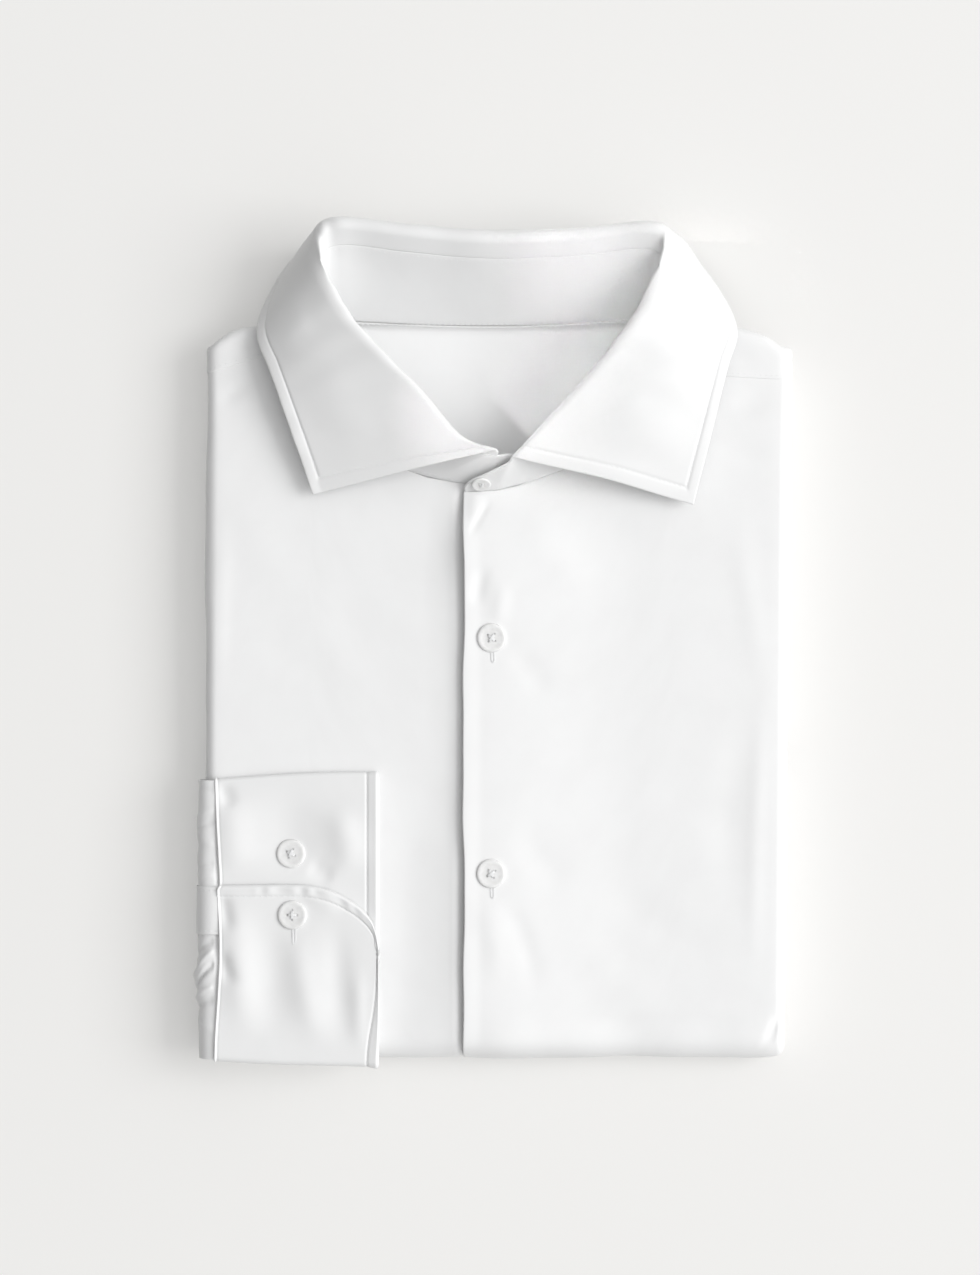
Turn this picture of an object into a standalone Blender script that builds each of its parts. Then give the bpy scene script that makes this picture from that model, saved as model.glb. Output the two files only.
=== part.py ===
# Folded dress shirt, lying on its back with the collar away from the viewer.
# The sides, the sleeves and the tail are folded under, and one cuff is brought
# round to the front. Sizes and places are in millimetres, and MM turns them
# to metres where a mesh is made. X runs to the right, Y to the collar, Z up.
import math

import bmesh
import bpy
from mathutils import Vector

MM = 0.001

# Places the middle of the folded shirt over the origin
SHIFT_X = 0.4
SHIFT_Y = 0.8

# Cloth
BODY_WALL = 1.2
STAND_WALL = 1.6
LEAF_WALL = 1.5
CUFF_WALL = 1.3
SLEEVE_WALL = 2.6
PLACKET_WALL = 1.0
SEAM_GAP = 0.3
YOKE_GAP = 0.5
LAY_GAP = 0.35

# Heights of the folded layers over the table
UPPER_BACK = 10.4
TAIL_TOP = 4.5
TAIL_IN_LOW = 5.3
TAIL_IN_TOP = 9.8

# Where the cloth turns under, from the collar end to the hem end
BOTTOM_FOLD_Y = -164.2
BOTTOM_FOLD_REACH = 9.8
TOP_FOLD_Y = 119.0
TAIL_END_Y = -40.0
TAIL_INSET = 1.4
TURNED_UNDER = 16.0

# Rows of cloth along each front: down the front, the bottom fold, the top fold
FRONT_ROWS = 8
BOTTOM_FOLD_ROWS = 6
TOP_FOLD_ROWS = 5
SIDE_FOLD_ROWS = 6
TAIL_EASE_ROWS = 5

# Closure down the front
EDGE_X = -12.8
UNDER_EDGE_X = 22.5
EDGE_DIP_START = -26.0
EDGE_DIP_END = -14.0
EDGE_DIP = BODY_WALL + LAY_GAP + 0.1
EDGE_LIFT_WIDTH = 52.0

# Height of the front along its length, and how much it is domed across
FRONT_HEIGHT = [
    # y, z
    (-165.0, 19.7), (-100.0, 20.0), (0.0, 20.4), (60.0, 20.9), (90.0, 20.8), (112.0, 20.0), (126.0, 19.4),
]
CROWN = 0.5
CROWN_HALF = 121.0

# How far the upper front edge stands off the cloth below it
EDGE_LIFT = [
    # y, lift
    (-164.0, 2.6), (-120.0, 3.0), (-60.0, 2.0), (0.0, 1.4), (35.0, 2.2), (66.0, 0.6),
]

# Side folds, seen from above
SIDE_LEFT = [(-175.0, 120.2), (20.0, 120.6), (112.0, 119.8)]
SIDE_RIGHT = [(-175.0, 121.4), (20.0, 123.1), (112.0, 124.3)]

# Neckline of each front, from the closure to the yoke seam
NECKLINE_RIGHT_FRONT = [
    # x, y
    (-77.2, 121.4), (-76.6, 113.0), (-74.0, 105.2), (-70.0, 98.3), (-65.0, 91.6), (-58.7, 85.8),
    (-50.0, 79.2), (-40.4, 73.3), (-28.0, 68.6), (-17.5, 66.8), (-2.1, 66.4), (10.0, 66.8), (22.5, 67.6),
]
NECKLINE_LEFT_FRONT = [
    # x, y
    (-12.8, 62.7), (0.8, 63.1), (9.0, 64.9), (18.0, 67.9), (30.0, 72.2), (40.8, 77.1),
    (50.0, 82.2), (58.3, 88.1), (64.5, 93.6), (69.4, 99.5), (73.0, 105.6), (75.4, 111.3), (76.0, 113.6),
]

# Seam between each front and the yoke, from the neckline to the side fold
YOKE_SEAM_LEFT = [(77.2, 121.4), (96.0, 119.2), (119.0, 112.6)]
YOKE_SEAM_RIGHT = [(76.0, 113.6), (98.7, 110.9), (122.5, 109.7)]

# Yoke: the neckline over both shoulders and the back of the neck
YOKE_LOW = 12.0
YOKE_END_Y = 62.0
YOKE_EDGE_INSET = 6.2
SHOULDER_Y = 132.0
YOKE_NECKLINE = [
    # x, y, z
    (-77.3, 125.2, 20.1), (-75.0, 129.6, 19.3), (-70.1, 132.4, 18.0), (-64.5, 133.4, 17.1),
    (-58.9, 133.8, 16.4), (-33.4, 132.8, 15.7), (0.0, 132.2, 15.5), (30.0, 133.0, 15.7),
    (55.9, 134.4, 16.4), (62.8, 134.0, 17.1), (68.4, 132.8, 18.0), (73.6, 129.4, 19.3), (75.9, 124.6, 20.1),
]
SHOULDER_CORNER = [(0.0, 0.0), (104.0, 0.0), (110.0, -2.4), (116.0, -5.4), (121.0, -8.4)]
YOKE_SIDE_TURNS = [90.0, 60.0, 30.0, 0.0]
YOKE_ROLL = 4.0
YOKE_ROLL_TOP = 19.95
YOKE_FRONT_ROWS = 3
YOKE_ROLL_ROWS = 6
YOKE_SMALL_TURN = 0.08

# Collar: a row for each section, from the wearer's right front round to the left.
# Each gives the neck seam, the crest of the fold and the outer edge of the leaf,
# the strip of leaf inside the fold and the fullness of the leaf.
COLLAR_ROLL = 3.4
COLLAR_SEAM_GAP = 0.9
COLLAR = [
    # neck x, y, z, crest x, y, z, edge x, y, z, strip, fullness
    (-2.1, 66.4, 22.7, 1.2, 78.9, 39.0, -75.3, 61.3, 24.0, 1.6, 1.5),
    (-17.5, 66.9, 22.6, -13.6, 84.4, 40.0, -79.7, 74.7, 26.3, 2.0, 2.0),
    (-40.4, 73.4, 22.3, -30.1, 103.2, 41.0, -84.2, 87.5, 27.6, 3.0, 2.5),
    (-58.7, 85.9, 22.0, -46.5, 119.7, 41.5, -88.3, 99.5, 28.2, 4.0, 2.5),
    (-70.0, 98.4, 21.7, -58.4, 132.8, 41.5, -92.9, 112.8, 27.5, 5.0, 2.0),
    (-76.3, 111.3, 21.4, -66.6, 145.5, 41.5, -98.2, 128.1, 24.0, 5.5, 2.0),
    (-77.2, 125.4, 21.3, -72.0, 159.0, 41.5, -93.2, 146.0, 11.5, 6.0, 2.0),
    (-70.1, 132.6, 19.2, -71.2, 170.2, 41.2, -81.8, 162.0, 5.0, 6.5, 2.0),
    (-58.9, 134.0, 17.6, -60.9, 173.3, 41.2, -66.7, 165.1, 3.2, 6.5, 2.0),
    (-33.4, 133.0, 16.9, -34.6, 170.2, 40.8, -36.8, 161.7, 2.8, 6.5, 2.0),
    (-1.7, 132.4, 16.7, -0.9, 167.7, 40.8, 0.0, 160.0, 2.8, 6.5, 2.0),
    (30.0, 133.2, 16.9, 33.2, 168.6, 40.8, 36.8, 161.7, 2.8, 6.5, 2.0),
    (55.9, 134.6, 17.6, 59.9, 171.4, 41.2, 68.3, 165.1, 3.2, 6.5, 2.0),
    (68.4, 133.0, 19.2, 70.2, 168.8, 41.2, 82.4, 162.0, 5.0, 6.5, 2.0),
    (75.9, 125.4, 21.3, 69.3, 158.4, 41.5, 94.7, 146.4, 11.5, 6.0, 2.0),
    (75.2, 111.3, 21.4, 64.7, 147.0, 41.5, 101.0, 129.3, 24.0, 5.5, 2.0),
    (69.4, 99.6, 21.7, 57.9, 134.4, 41.5, 97.0, 114.5, 27.5, 5.0, 2.0),
    (58.3, 88.2, 22.0, 48.4, 121.3, 41.5, 93.2, 99.5, 28.2, 4.0, 2.5),
    (40.8, 77.2, 22.3, 35.3, 105.7, 41.0, 89.9, 85.8, 27.6, 3.0, 2.5),
    (18.0, 68.0, 22.6, 20.9, 90.1, 40.0, 86.3, 71.4, 26.3, 2.0, 2.0),
    (0.8, 63.2, 22.7, 7.8, 75.8, 39.0, 82.7, 57.0, 24.0, 1.6, 1.5),
]
COLLAR_STEPS = 2
LEAF_STEPS = 5
ROLL_STEPS = 5
STAND_ROWS = 3

# Ends of the stand past the leaf: the right one lies inside, the left one outside
STAND_END_INSIDE = [
    # neck x, y, z, top x, y, z
    (11.4, 67.9, 22.8, 10.6, 71.5, 27.0),
    (9.0, 67.7, 22.8, 10.2, 76.2, 34.0),
    (5.0, 67.2, 22.8, 6.4, 77.6, 36.0),
]
STAND_END_OUTSIDE = [
    # neck x, y, z, top x, y, z
    (-5.2, 62.9, 22.9, -3.6, 69.6, 31.6),
    (-10.4, 62.8, 22.9, -9.8, 67.0, 28.2),
    (-12.4, 62.8, 23.4, -12.3, 64.6, 25.6),
]

# Cuff, wrapped flat into three layers on the wearer's right front
CUFF_BASE = LAY_GAP
CUFF_MIDDLE_TOP = 3.7
CUFF_OVER_TOP = CUFF_MIDDLE_TOP + CUFF_WALL + LAY_GAP
CUFF_UNDERLAP_Y = -126.0
CUFF_OVERLAP_EDGE = [
    # x, y
    (-115.3, -101.0), (-84.0, -100.7), (-76.0, -101.2), (-68.0, -103.1), (-61.3, -106.4),
    (-55.5, -110.4), (-50.8, -115.8), (-48.8, -122.0), (-47.9, -129.0),
]
CUFF_REST_Y = -158.0
CUFF_COLUMNS = [-115.3, -100.0, -84.0, -74.0, -66.0, -60.0, -55.0, -51.0, -49.2, -47.9]
CUFF_TOP_FOLD = [(-116.0, -56.9), (-84.0, -54.6), (-60.0, -53.9), (-47.0, -54.4)]
CUFF_BOTTOM_FOLD = [(-116.0, -174.3), (-93.0, -175.6), (-60.0, -176.4), (-47.0, -176.9)]

# Right sleeve, from the cuff seam round the side fold and in between the layers
SLEEVE_TOP_Y = -57.5
SLEEVE_BOTTOM_Y = -173.5
SLEEVE_UNDER_Y = -158.0
SLEEVE_END_X = -100.0
SLEEVE_TURNS = 10
SLEEVE_FIRST_TURN = 4.5
SLEEVE_LIFT_START = 85.0
SLEEVE_LIFT_LENGTH = 45.0
SLEEVE_PLEATS = [
    # y, fullness of the outline
    (-174.0, 0.0), (-164.0, 0.2), (-152.0, 0.4), (-146.0, 1.2), (-140.0, 1.9), (-134.0, 0.9), (-125.0, 0.5),
    (-112.0, 0.3), (-100.0, 0.2), (-90.0, 0.6), (-84.0, 0.1), (-78.0, 0.9), (-70.0, 0.2), (-57.0, 0.0),
]
PLACKET_Y = (-121.6, -101.6)
PLACKET_TURN = (6.0, 140.0)
PLACKET_STEPS = 8
PLACKET_GAP = LAY_GAP + 0.1

# Left sleeve, folded flat across the back
LEFT_SLEEVE_LOW = TAIL_TOP + 0.4
LEFT_SLEEVE_HIGH = UPPER_BACK - 0.4
LEFT_SLEEVE_INNER_X = -96.0
LEFT_SLEEVE_Y = (-156.0, -50.0)

# Hidden layers of the back
BACK_LOW = 10.3
BACK_STEP_X = 98.4
BACK_STEP_Z = 11.95
BACK_UNDER_FRONT = BODY_WALL + 0.45
BACK_EDGE_INSET = 3.0
BACK_DIP_X = {1: 25.0, -1: 22.0}

# Buttons
BUTTON_RADIUS = 6.1
BUTTON_THICK = 2.6
BUTTON_RIM = 1.3
BUTTON_DISH = 0.7
BUTTON_HOLE = 0.65
BUTTON_HOLE_PITCH = 1.45
COLLAR_BUTTON_SCALE = 0.8
BUTTON_SIDES = 20
BUTTON_GAP = 0.45

BUTTONS_ON_FRONT = [("button_front_1", -1.1, 1.8), ("button_front_2", -1.3, -96.2)]
BUTTONS_ON_CUFF = [
    # name, x, y, height of the layer that it lies on
    ("button_cuff_1", -84.5, -88.0, CUFF_MIDDLE_TOP), ("button_cuff_2", -83.8, -113.3, CUFF_OVER_TOP),
]
COLLAR_BUTTON_AT = (-3.8, 66.2, 27.2)
COLLAR_BUTTON_FACES = (0.06, -0.80, 0.60)

WHITE_CLOTH = (0.86, 0.87, 0.89)
CLOTH_ROUGHNESS = 0.62
PEARL = (0.83, 0.82, 0.79)
BUTTON_ROUGHNESS = 0.24


def clear_scene():
    for item in list(bpy.data.objects):
        bpy.data.objects.remove(item, do_unlink=True)


def make_material(name, colour, roughness):
    material = bpy.data.materials.new(name + "_finish")
    material.use_nodes = True
    shader = material.node_tree.nodes["Principled BSDF"]
    shader.inputs["Base Color"].default_value = (*colour, 1.0)
    shader.inputs["Roughness"].default_value = roughness
    shader.inputs["Metallic"].default_value = 0.0
    material.diffuse_color = (*colour, 1.0)
    return material


def smooth_step(value):
    value = min(max(value, 0.0), 1.0)
    return value * value * (3.0 - 2.0 * value)


def read_table(table, at):
    """Value of the last columns where the first column is at, straight between rows."""
    rows = sorted(table)
    if at <= rows[0][0]:
        return rows[0][1]
    for low, high in zip(rows, rows[1:]):
        if at <= high[0]:
            part = (at - low[0]) / (high[0] - low[0])
            return low[1] + (high[1] - low[1]) * part
    return rows[-1][1]


def read_smooth(table, at):
    """As read_table, with a smooth curve through the rows."""
    rows = sorted(table)
    at = min(max(at, rows[0][0]), rows[-1][0])
    index = max(i for i in range(len(rows) - 1) if rows[i][0] <= at)
    low, high = rows[index], rows[index + 1]
    before = rows[max(index - 1, 0)]
    after = rows[min(index + 2, len(rows) - 1)]
    width = high[0] - low[0]
    part = (at - low[0]) / width
    rise_low = (high[1] - before[1]) / (high[0] - before[0]) * width
    rise_high = (after[1] - low[1]) / (after[0] - low[0]) * width
    return (
        low[1] * (2 * part ** 3 - 3 * part ** 2 + 1)
        + rise_low * (part ** 3 - 2 * part ** 2 + part)
        + high[1] * (3 * part ** 2 - 2 * part ** 3)
        + rise_high * (part ** 3 - part ** 2)
    )


def curve_rows(rows, steps):
    """More rows on a smooth curve through the given ones."""
    result = []
    last = len(rows) - 1
    for index in range(last):
        points = [rows[max(index - 1, 0)], rows[index], rows[index + 1], rows[min(index + 2, last)]]
        for step in range(steps):
            part = step / steps
            result.append(tuple(
                0.5 * (2 * b + (c - a) * part + (2 * a - 5 * b + 4 * c - d) * part ** 2
                       + (3 * b - a - 3 * c + d) * part ** 3)
                for a, b, c, d in zip(*points)
            ))
    result.append(rows[-1])
    return result


def new_object(name, mesh, material, collection):
    item = bpy.data.objects.new(name, mesh)
    collection.objects.link(item)
    mesh.materials.append(material)
    mesh.shade_smooth()
    mesh.set_sharp_from_angle(angle=math.radians(50))
    return item


def make_sheet(name, grid, wall, collection, flip=False, middle=False):
    """Cloth through a grid of points on its outer face, or on the middle of its wall."""
    mesh = bpy.data.meshes.new(name)
    shape = bmesh.new()
    rows = [[shape.verts.new(point * MM) for point in row] for row in grid]
    for row, following in zip(rows, rows[1:]):
        for index in range(len(row) - 1):
            corners = [row[index], row[index + 1], following[index + 1], following[index]]
            if flip:
                corners.reverse()
            shape.faces.new(corners)
    shape.to_mesh(mesh)
    shape.free()
    item = new_object(name, mesh, make_material(name, WHITE_CLOTH, CLOTH_ROUGHNESS), collection)
    solidify = item.modifiers.new("wall", "SOLIDIFY")
    solidify.thickness = wall * MM
    solidify.offset = 0.0 if middle else -1.0
    solidify.use_even_offset = not middle
    solidify.use_quality_normals = True
    return item


def make_block(name, rings, collection):
    """Closed solid through rings of points, capped at both ends."""
    mesh = bpy.data.meshes.new(name)
    shape = bmesh.new()
    loops = [[shape.verts.new(point * MM) for point in ring] for ring in rings]
    count = len(loops[0])
    for loop, following in zip(loops, loops[1:]):
        for index in range(count):
            after = (index + 1) % count
            shape.faces.new([loop[index], loop[after], following[after], following[index]])
    shape.faces.new(list(reversed(loops[0])))
    shape.faces.new(loops[-1])
    bmesh.ops.recalc_face_normals(shape, faces=shape.faces)
    bmesh.ops.triangulate(shape, faces=[face for face in shape.faces if len(face.verts) > 4])
    shape.to_mesh(mesh)
    shape.free()
    return new_object(name, mesh, make_material(name, WHITE_CLOTH, CLOTH_ROUGHNESS), collection)


def front_height(x, y):
    """Top of the folded shirt before the closure lifts or dips it."""
    return read_smooth(FRONT_HEIGHT, y) + CROWN * (1.0 - (x / CROWN_HALF) ** 2)


def edge_lift(x, y):
    """Rise of the upper front towards its free edge."""
    part = 1.0 - smooth_step((x - EDGE_X) / EDGE_LIFT_WIDTH)
    return read_smooth(EDGE_LIFT, y) * part


def upper_front_height(x, y):
    return front_height(x, y) + edge_lift(x, y)


def edge_dip(x):
    """Step of the lower front down under the upper one."""
    return EDGE_DIP * smooth_step((x - EDGE_DIP_START) / (EDGE_DIP_END - EDGE_DIP_START))


def body_rows(x, top_y):
    """Outer and inner points of the folded cloth at one place across, as (y, z) pairs.

    The rows run down the front, round the bottom fold, up the underside, round the
    top fold and down again inside.
    """
    rows = []
    for step in range(FRONT_ROWS + 1):
        part = step / FRONT_ROWS
        y = top_y + (BOTTOM_FOLD_Y - top_y) * part
        rows.append(((y, front_height(x, y)), (y, UPPER_BACK), 1.0))
    high = front_height(x, BOTTOM_FOLD_Y)
    inner_middle = (UPPER_BACK + TAIL_TOP) / 2
    inner_radius = (UPPER_BACK - TAIL_TOP) / 2
    for step in range(1, BOTTOM_FOLD_ROWS + 1):
        turn = math.pi * step / BOTTOM_FOLD_ROWS
        outer = (BOTTOM_FOLD_Y - BOTTOM_FOLD_REACH * math.sin(turn), high / 2 * (1 + math.cos(turn)))
        inner = (BOTTOM_FOLD_Y - inner_radius * math.sin(turn), inner_middle + inner_radius * math.cos(turn))
        rows.append((outer, inner, max(1.0 - step / 2, 0.0)))
    for part in (0.35, 0.7, 1.0):
        y = BOTTOM_FOLD_Y + (TOP_FOLD_Y - BOTTOM_FOLD_Y) * part
        rows.append(((y, 0.0), (y, TAIL_TOP), 0.0))
    middle = TAIL_IN_TOP / 2
    inner_radius = (TAIL_IN_LOW - TAIL_TOP) / 2
    for step in range(1, TOP_FOLD_ROWS + 1):
        turn = math.pi * step / TOP_FOLD_ROWS
        outer = (TOP_FOLD_Y + middle * math.sin(turn), middle - middle * math.cos(turn))
        inner = (TOP_FOLD_Y + inner_radius * math.sin(turn), middle - inner_radius * math.cos(turn))
        rows.append((outer, inner, 0.0))
    for part in (0.5, 1.0):
        y = TOP_FOLD_Y + (TAIL_END_Y - TOP_FOLD_Y) * part
        rows.append(((y, TAIL_IN_TOP), (y, TAIL_IN_LOW), 0.0))
    return rows


def outward(rows, index):
    """Direction away from the folded stack at one row, as a (y, z) pair."""
    before = rows[max(index - 1, 0)][0]
    after = rows[min(index + 1, len(rows) - 1)][0]
    along = (after[0] - before[0], after[1] - before[1])
    length = math.hypot(*along)
    return (along[1] / length, -along[0] / length)


def front_grid(columns, side, side_table, seam_table, neckline, rise):
    """Grid of points of one front: across to the side fold and a strip turned under."""
    seam_start = min(abs(row[0]) for row in seam_table)

    def top_edge(x):
        if side * x >= seam_start:
            return read_smooth(seam_table, side * x)
        return read_table(neckline, x)

    grid_columns = []
    for x in columns:
        rows = body_rows(x, top_edge(x))
        line = []
        for index, (outer, _, fade) in enumerate(rows):
            out = outward(rows, index)
            move = rise(x, outer[0], fade)
            line.append(Vector((x, outer[0] + out[0] * move, outer[1] + out[1] * move)))
        grid_columns.append(line)
    reach = read_table(side_table, 100.0)
    rows = body_rows(side * reach, top_edge(side * reach))
    places = [(math.pi * step / SIDE_FOLD_ROWS, 0.0) for step in range(SIDE_FOLD_ROWS + 1)]
    places.append((math.pi, TURNED_UNDER))
    for turn, strip in places:
        line = []
        for index, (outer, inner, _) in enumerate(rows):
            tail = smooth_step((index - FRONT_ROWS - BOTTOM_FOLD_ROWS / 2 + 1) / TAIL_EASE_ROWS)
            edge = read_table(side_table, outer[0]) - TAIL_INSET * tail
            radius = math.dist(outer, inner) / 2
            part = (1.0 - math.cos(turn)) / 2
            x = edge - radius + radius * math.sin(turn) - strip
            y = outer[0] + (inner[0] - outer[0]) * part
            z = outer[1] + (inner[1] - outer[1]) * part
            line.append(Vector((side * x, y, z)))
        grid_columns.append(line)
    return grid_columns


def make_fronts(collection):
    left_columns = [EDGE_X, -10.0, -1.0, 9.0, 18.0, 30.0, 40.8, 50.0, 58.3, 64.5, 69.4, 73.0, 75.9, 76.1,
                    88.0, 98.7, 109.0]

    def upper(x, y, fade):
        return edge_lift(x, y) * fade

    grid = front_grid(left_columns, 1, SIDE_RIGHT, YOKE_SEAM_RIGHT, NECKLINE_LEFT_FRONT, upper)
    make_sheet("front_left", grid, BODY_WALL, collection)

    right_columns = [UNDER_EDGE_X, 8.0, -2.1, EDGE_DIP_END, -20.0, EDGE_DIP_START, -40.4, -50.0, -58.7, -65.0,
                     -70.0, -74.0, -77.1, -77.3, -88.0, -96.0, -106.0]

    def lower(x, y, fade):
        return -edge_dip(x)

    grid = front_grid(right_columns, -1, SIDE_LEFT, YOKE_SEAM_LEFT, NECKLINE_RIGHT_FRONT, lower)
    make_sheet("front_right", grid, BODY_WALL, collection, flip=True)


def yoke_line(start, drop, under_x, on_roll):
    """Outer face of the yoke from one point of its upper edge, over the shoulder and under.

    A start on the roll of the shoulder joins it part of the way round.
    """
    radius = YOKE_ROLL if on_roll else (start.z - YOKE_LOW) / 2
    first = math.acos((start.z - YOKE_LOW - radius) / radius) if on_roll else 0.0
    middle_y = start.y - radius * math.sin(first) if on_roll else SHOULDER_Y + drop - radius
    line = []
    for row in range(YOKE_FRONT_ROWS + YOKE_ROLL_ROWS + 1):
        whole = math.pi * (row - YOKE_FRONT_ROWS) / YOKE_ROLL_ROWS
        if not on_roll and row < YOKE_FRONT_ROWS:
            y = start.y + (middle_y - start.y) * row / YOKE_FRONT_ROWS
            line.append(Vector((start.x, y, start.z)))
            continue
        turn = max(whole, first + YOKE_SMALL_TURN * row) if on_roll else whole
        part = turn / math.pi
        x = start.x + (under_x - start.x) * part
        z = YOKE_LOW + radius + radius * math.cos(turn)
        line.append(Vector((x, middle_y + radius * math.sin(turn), z)))
    for y in (110.0, YOKE_END_Y):
        line.append(Vector((under_x, y, YOKE_LOW)))
    return line


def make_yoke(collection):
    halves = []
    for side, table, seam in ((-1, SIDE_LEFT, YOKE_SEAM_LEFT), (1, SIDE_RIGHT, YOKE_SEAM_RIGHT)):
        edge = read_table(table, 112.0)
        radius = (front_height(edge, 112.0) - UPPER_BACK) / 2
        starts = []
        for degrees in YOKE_SIDE_TURNS:
            turn = math.radians(degrees)
            x = edge - radius + radius * math.sin(turn)
            starts.append((x, UPPER_BACK + radius + radius * math.cos(turn)))
        for x in (edge - 12.0, 98.0, 88.0, seam[0][0] + 0.3):
            starts.append((x, front_height(x, read_smooth(seam, x))))
        half = []
        for x, z in starts:
            start = Vector((side * x, read_smooth(seam, x) + YOKE_GAP, z))
            under_x = side * min(x, edge - YOKE_EDGE_INSET - (edge - x) * 0.2)
            half.append(yoke_line(start, read_table(SHOULDER_CORNER, x), under_x, False))
        halves.append(half)
    neck = [yoke_line(Vector(row), 0.0, row[0], row[2] < YOKE_ROLL_TOP) for row in YOKE_NECKLINE]
    grid = halves[0] + neck + list(reversed(halves[1]))
    make_sheet("yoke", grid, BODY_WALL, collection, flip=True)


def make_back_layers(collection):
    """The back and the shirt's hidden folds as one solid with three rounded edges."""
    places = [
        # y, inset at the sides, drop at the top, rise below
        (-168.6, 12.0, 4.2, 1.6), (-167.0, 6.0, 2.2, 0.7), (-163.0, 2.0, 0.5, 0.1), (-150.0, 0.5, 0.0, 0.0),
        (-60.0, 0.0, 0.0, 0.0), (30.0, 0.0, 0.0, 0.0), (50.0, 0.4, 0.3, 0.0), (56.0, 1.6, 1.2, 0.4),
        (58.0, 4.0, 2.8, 1.6),
    ]
    layers = 3
    rings = []
    for y, inset, drop, rise in places:
        ring = []
        for side, table in ((1, SIDE_RIGHT), (-1, SIDE_LEFT)):
            edge = read_table(table, y) - BACK_EDGE_INSET - inset
            low = BACK_STEP_Z + rise
            high = front_height(edge, min(max(y, -160.0), 58.0)) - BACK_UNDER_FRONT - drop
            height = (high - low) / layers
            half = [Vector((side * BACK_STEP_X, y, BACK_LOW + rise)), Vector((side * BACK_STEP_X, y, low))]
            for layer in range(layers):
                tuck = 0.0 if layer == 1 else 1.0
                bottom = low + layer * height
                half.append(Vector((side * (edge - tuck - 1.2), y, bottom + 0.12 * height)))
                half.append(Vector((side * (edge - tuck), y, bottom + 0.5 * height)))
            half.append(Vector((side * (edge - 2.4), y, high)))
            crown = front_height(60.0, min(max(y, -160.0), 58.0)) - BACK_UNDER_FRONT - drop
            half.append(Vector((side * 60.0, y, crown)))
            half.append(Vector((side * 33.0, y, crown)))
            half.append(Vector((side * BACK_DIP_X[side], y, crown - EDGE_DIP)))
            if side < 0:
                half.reverse()
            ring.extend(half)
        rings.append(ring)
    make_block("back_layers", rings, collection)


def collar_section(row):
    """Stand line and leaf line of the collar at one section."""
    neck, crest, edge = Vector(row[0:3]), Vector(row[3:6]), Vector(row[6:9])
    strip, fullness = row[9], row[10]
    apex = crest
    for _ in range(5):
        inward = (neck - apex).normalized()
        outside = (edge - apex).normalized()
        half = inward.angle(outside) / 2
        middle = (inward + outside).normalized()
        apex = crest - middle * COLLAR_ROLL * (1 / math.sin(half) - 1)
    across = (outside - inward).normalized()
    reach = COLLAR_ROLL / math.tan(half)
    centre = apex + middle * COLLAR_ROLL / math.sin(half)
    seam = apex + inward * (reach + strip)
    stand = [neck.lerp(seam, step / STAND_ROWS) for step in range(STAND_ROWS + 1)]
    leaf = []
    swing = math.pi / 2 - half
    for step in range(ROLL_STEPS + 1):
        turn = -swing + 2 * swing * step / ROLL_STEPS
        leaf.append(centre + (across * math.sin(turn) - middle * math.cos(turn)) * COLLAR_ROLL)
    fall = leaf[-1]
    swell = across * math.cos(half) - middle * math.sin(half)
    for step in range(1, LEAF_STEPS + 1):
        part = step / LEAF_STEPS
        leaf.append(fall.lerp(edge, part) + swell * fullness * math.sin(math.pi * part) ** 2)
    return stand, leaf


def make_collar(collection):
    sections = [collar_section(row) for row in curve_rows(COLLAR, COLLAR_STEPS)]

    def end_lines(table):
        return [[Vector(row[0:3]).lerp(Vector(row[3:6]), step / STAND_ROWS)
                 for step in range(STAND_ROWS + 1)] for row in table]

    stand = end_lines(STAND_END_INSIDE) + [section[0] for section in sections] + end_lines(STAND_END_OUTSIDE)
    make_sheet("collar_stand", stand, STAND_WALL, collection, middle=True)
    leaf = []
    for index, section in enumerate(sections):
        seam, first = section[0][-1], section[1][0]
        before = sections[max(index - 1, 0)][0][-1]
        after = sections[min(index + 1, len(sections) - 1)][0][-1]
        rise = (first - seam).normalized()
        slant = math.sin(rise.angle(after - before))
        leaf.append([seam + rise * COLLAR_SEAM_GAP / slant] + section[1])
    make_sheet("collar_leaf", leaf, LEAF_WALL, collection, middle=True)


def cuff_line(x):
    """Outer face of the cuff at one place across: over, round and under to its hidden end."""
    end_y = read_smooth(CUFF_OVERLAP_EDGE, x)
    top_y = read_smooth(CUFF_TOP_FOLD, x)
    bottom_y = read_smooth(CUFF_BOTTOM_FOLD, x)

    def lie(y, height):
        return Vector((x, y, front_height(x, max(y, CUFF_REST_Y)) + height))

    big = (CUFF_OVER_TOP - CUFF_BASE) / 2
    small = (CUFF_MIDDLE_TOP - CUFF_BASE) / 2
    over = bottom_y + big - end_y
    line = [lie(end_y + over * part, CUFF_OVER_TOP) for part in (0.0, 0.25, 0.55, 0.8, 1.0)]
    for step in range(1, 6):
        turn = math.pi * step / 6
        line.append(lie(bottom_y + big - big * math.sin(turn), CUFF_BASE + big + big * math.cos(turn)))
    for part in (0.0, 0.33, 0.66, 1.0):
        line.append(lie(bottom_y + big + (top_y - small - bottom_y - big) * part, CUFF_BASE))
    for step in range(1, 6):
        turn = math.pi * step / 6
        line.append(lie(top_y - small + small * math.sin(turn), CUFF_BASE + small - small * math.cos(turn)))
    for part in (0.0, 0.4, 0.7, 1.0):
        line.append(lie(top_y - small + (CUFF_UNDERLAP_Y - top_y + small) * part, CUFF_MIDDLE_TOP))
    return line


def make_cuff(collection):
    make_sheet("cuff_right", [cuff_line(x) for x in CUFF_COLUMNS], CUFF_WALL, collection)


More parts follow.
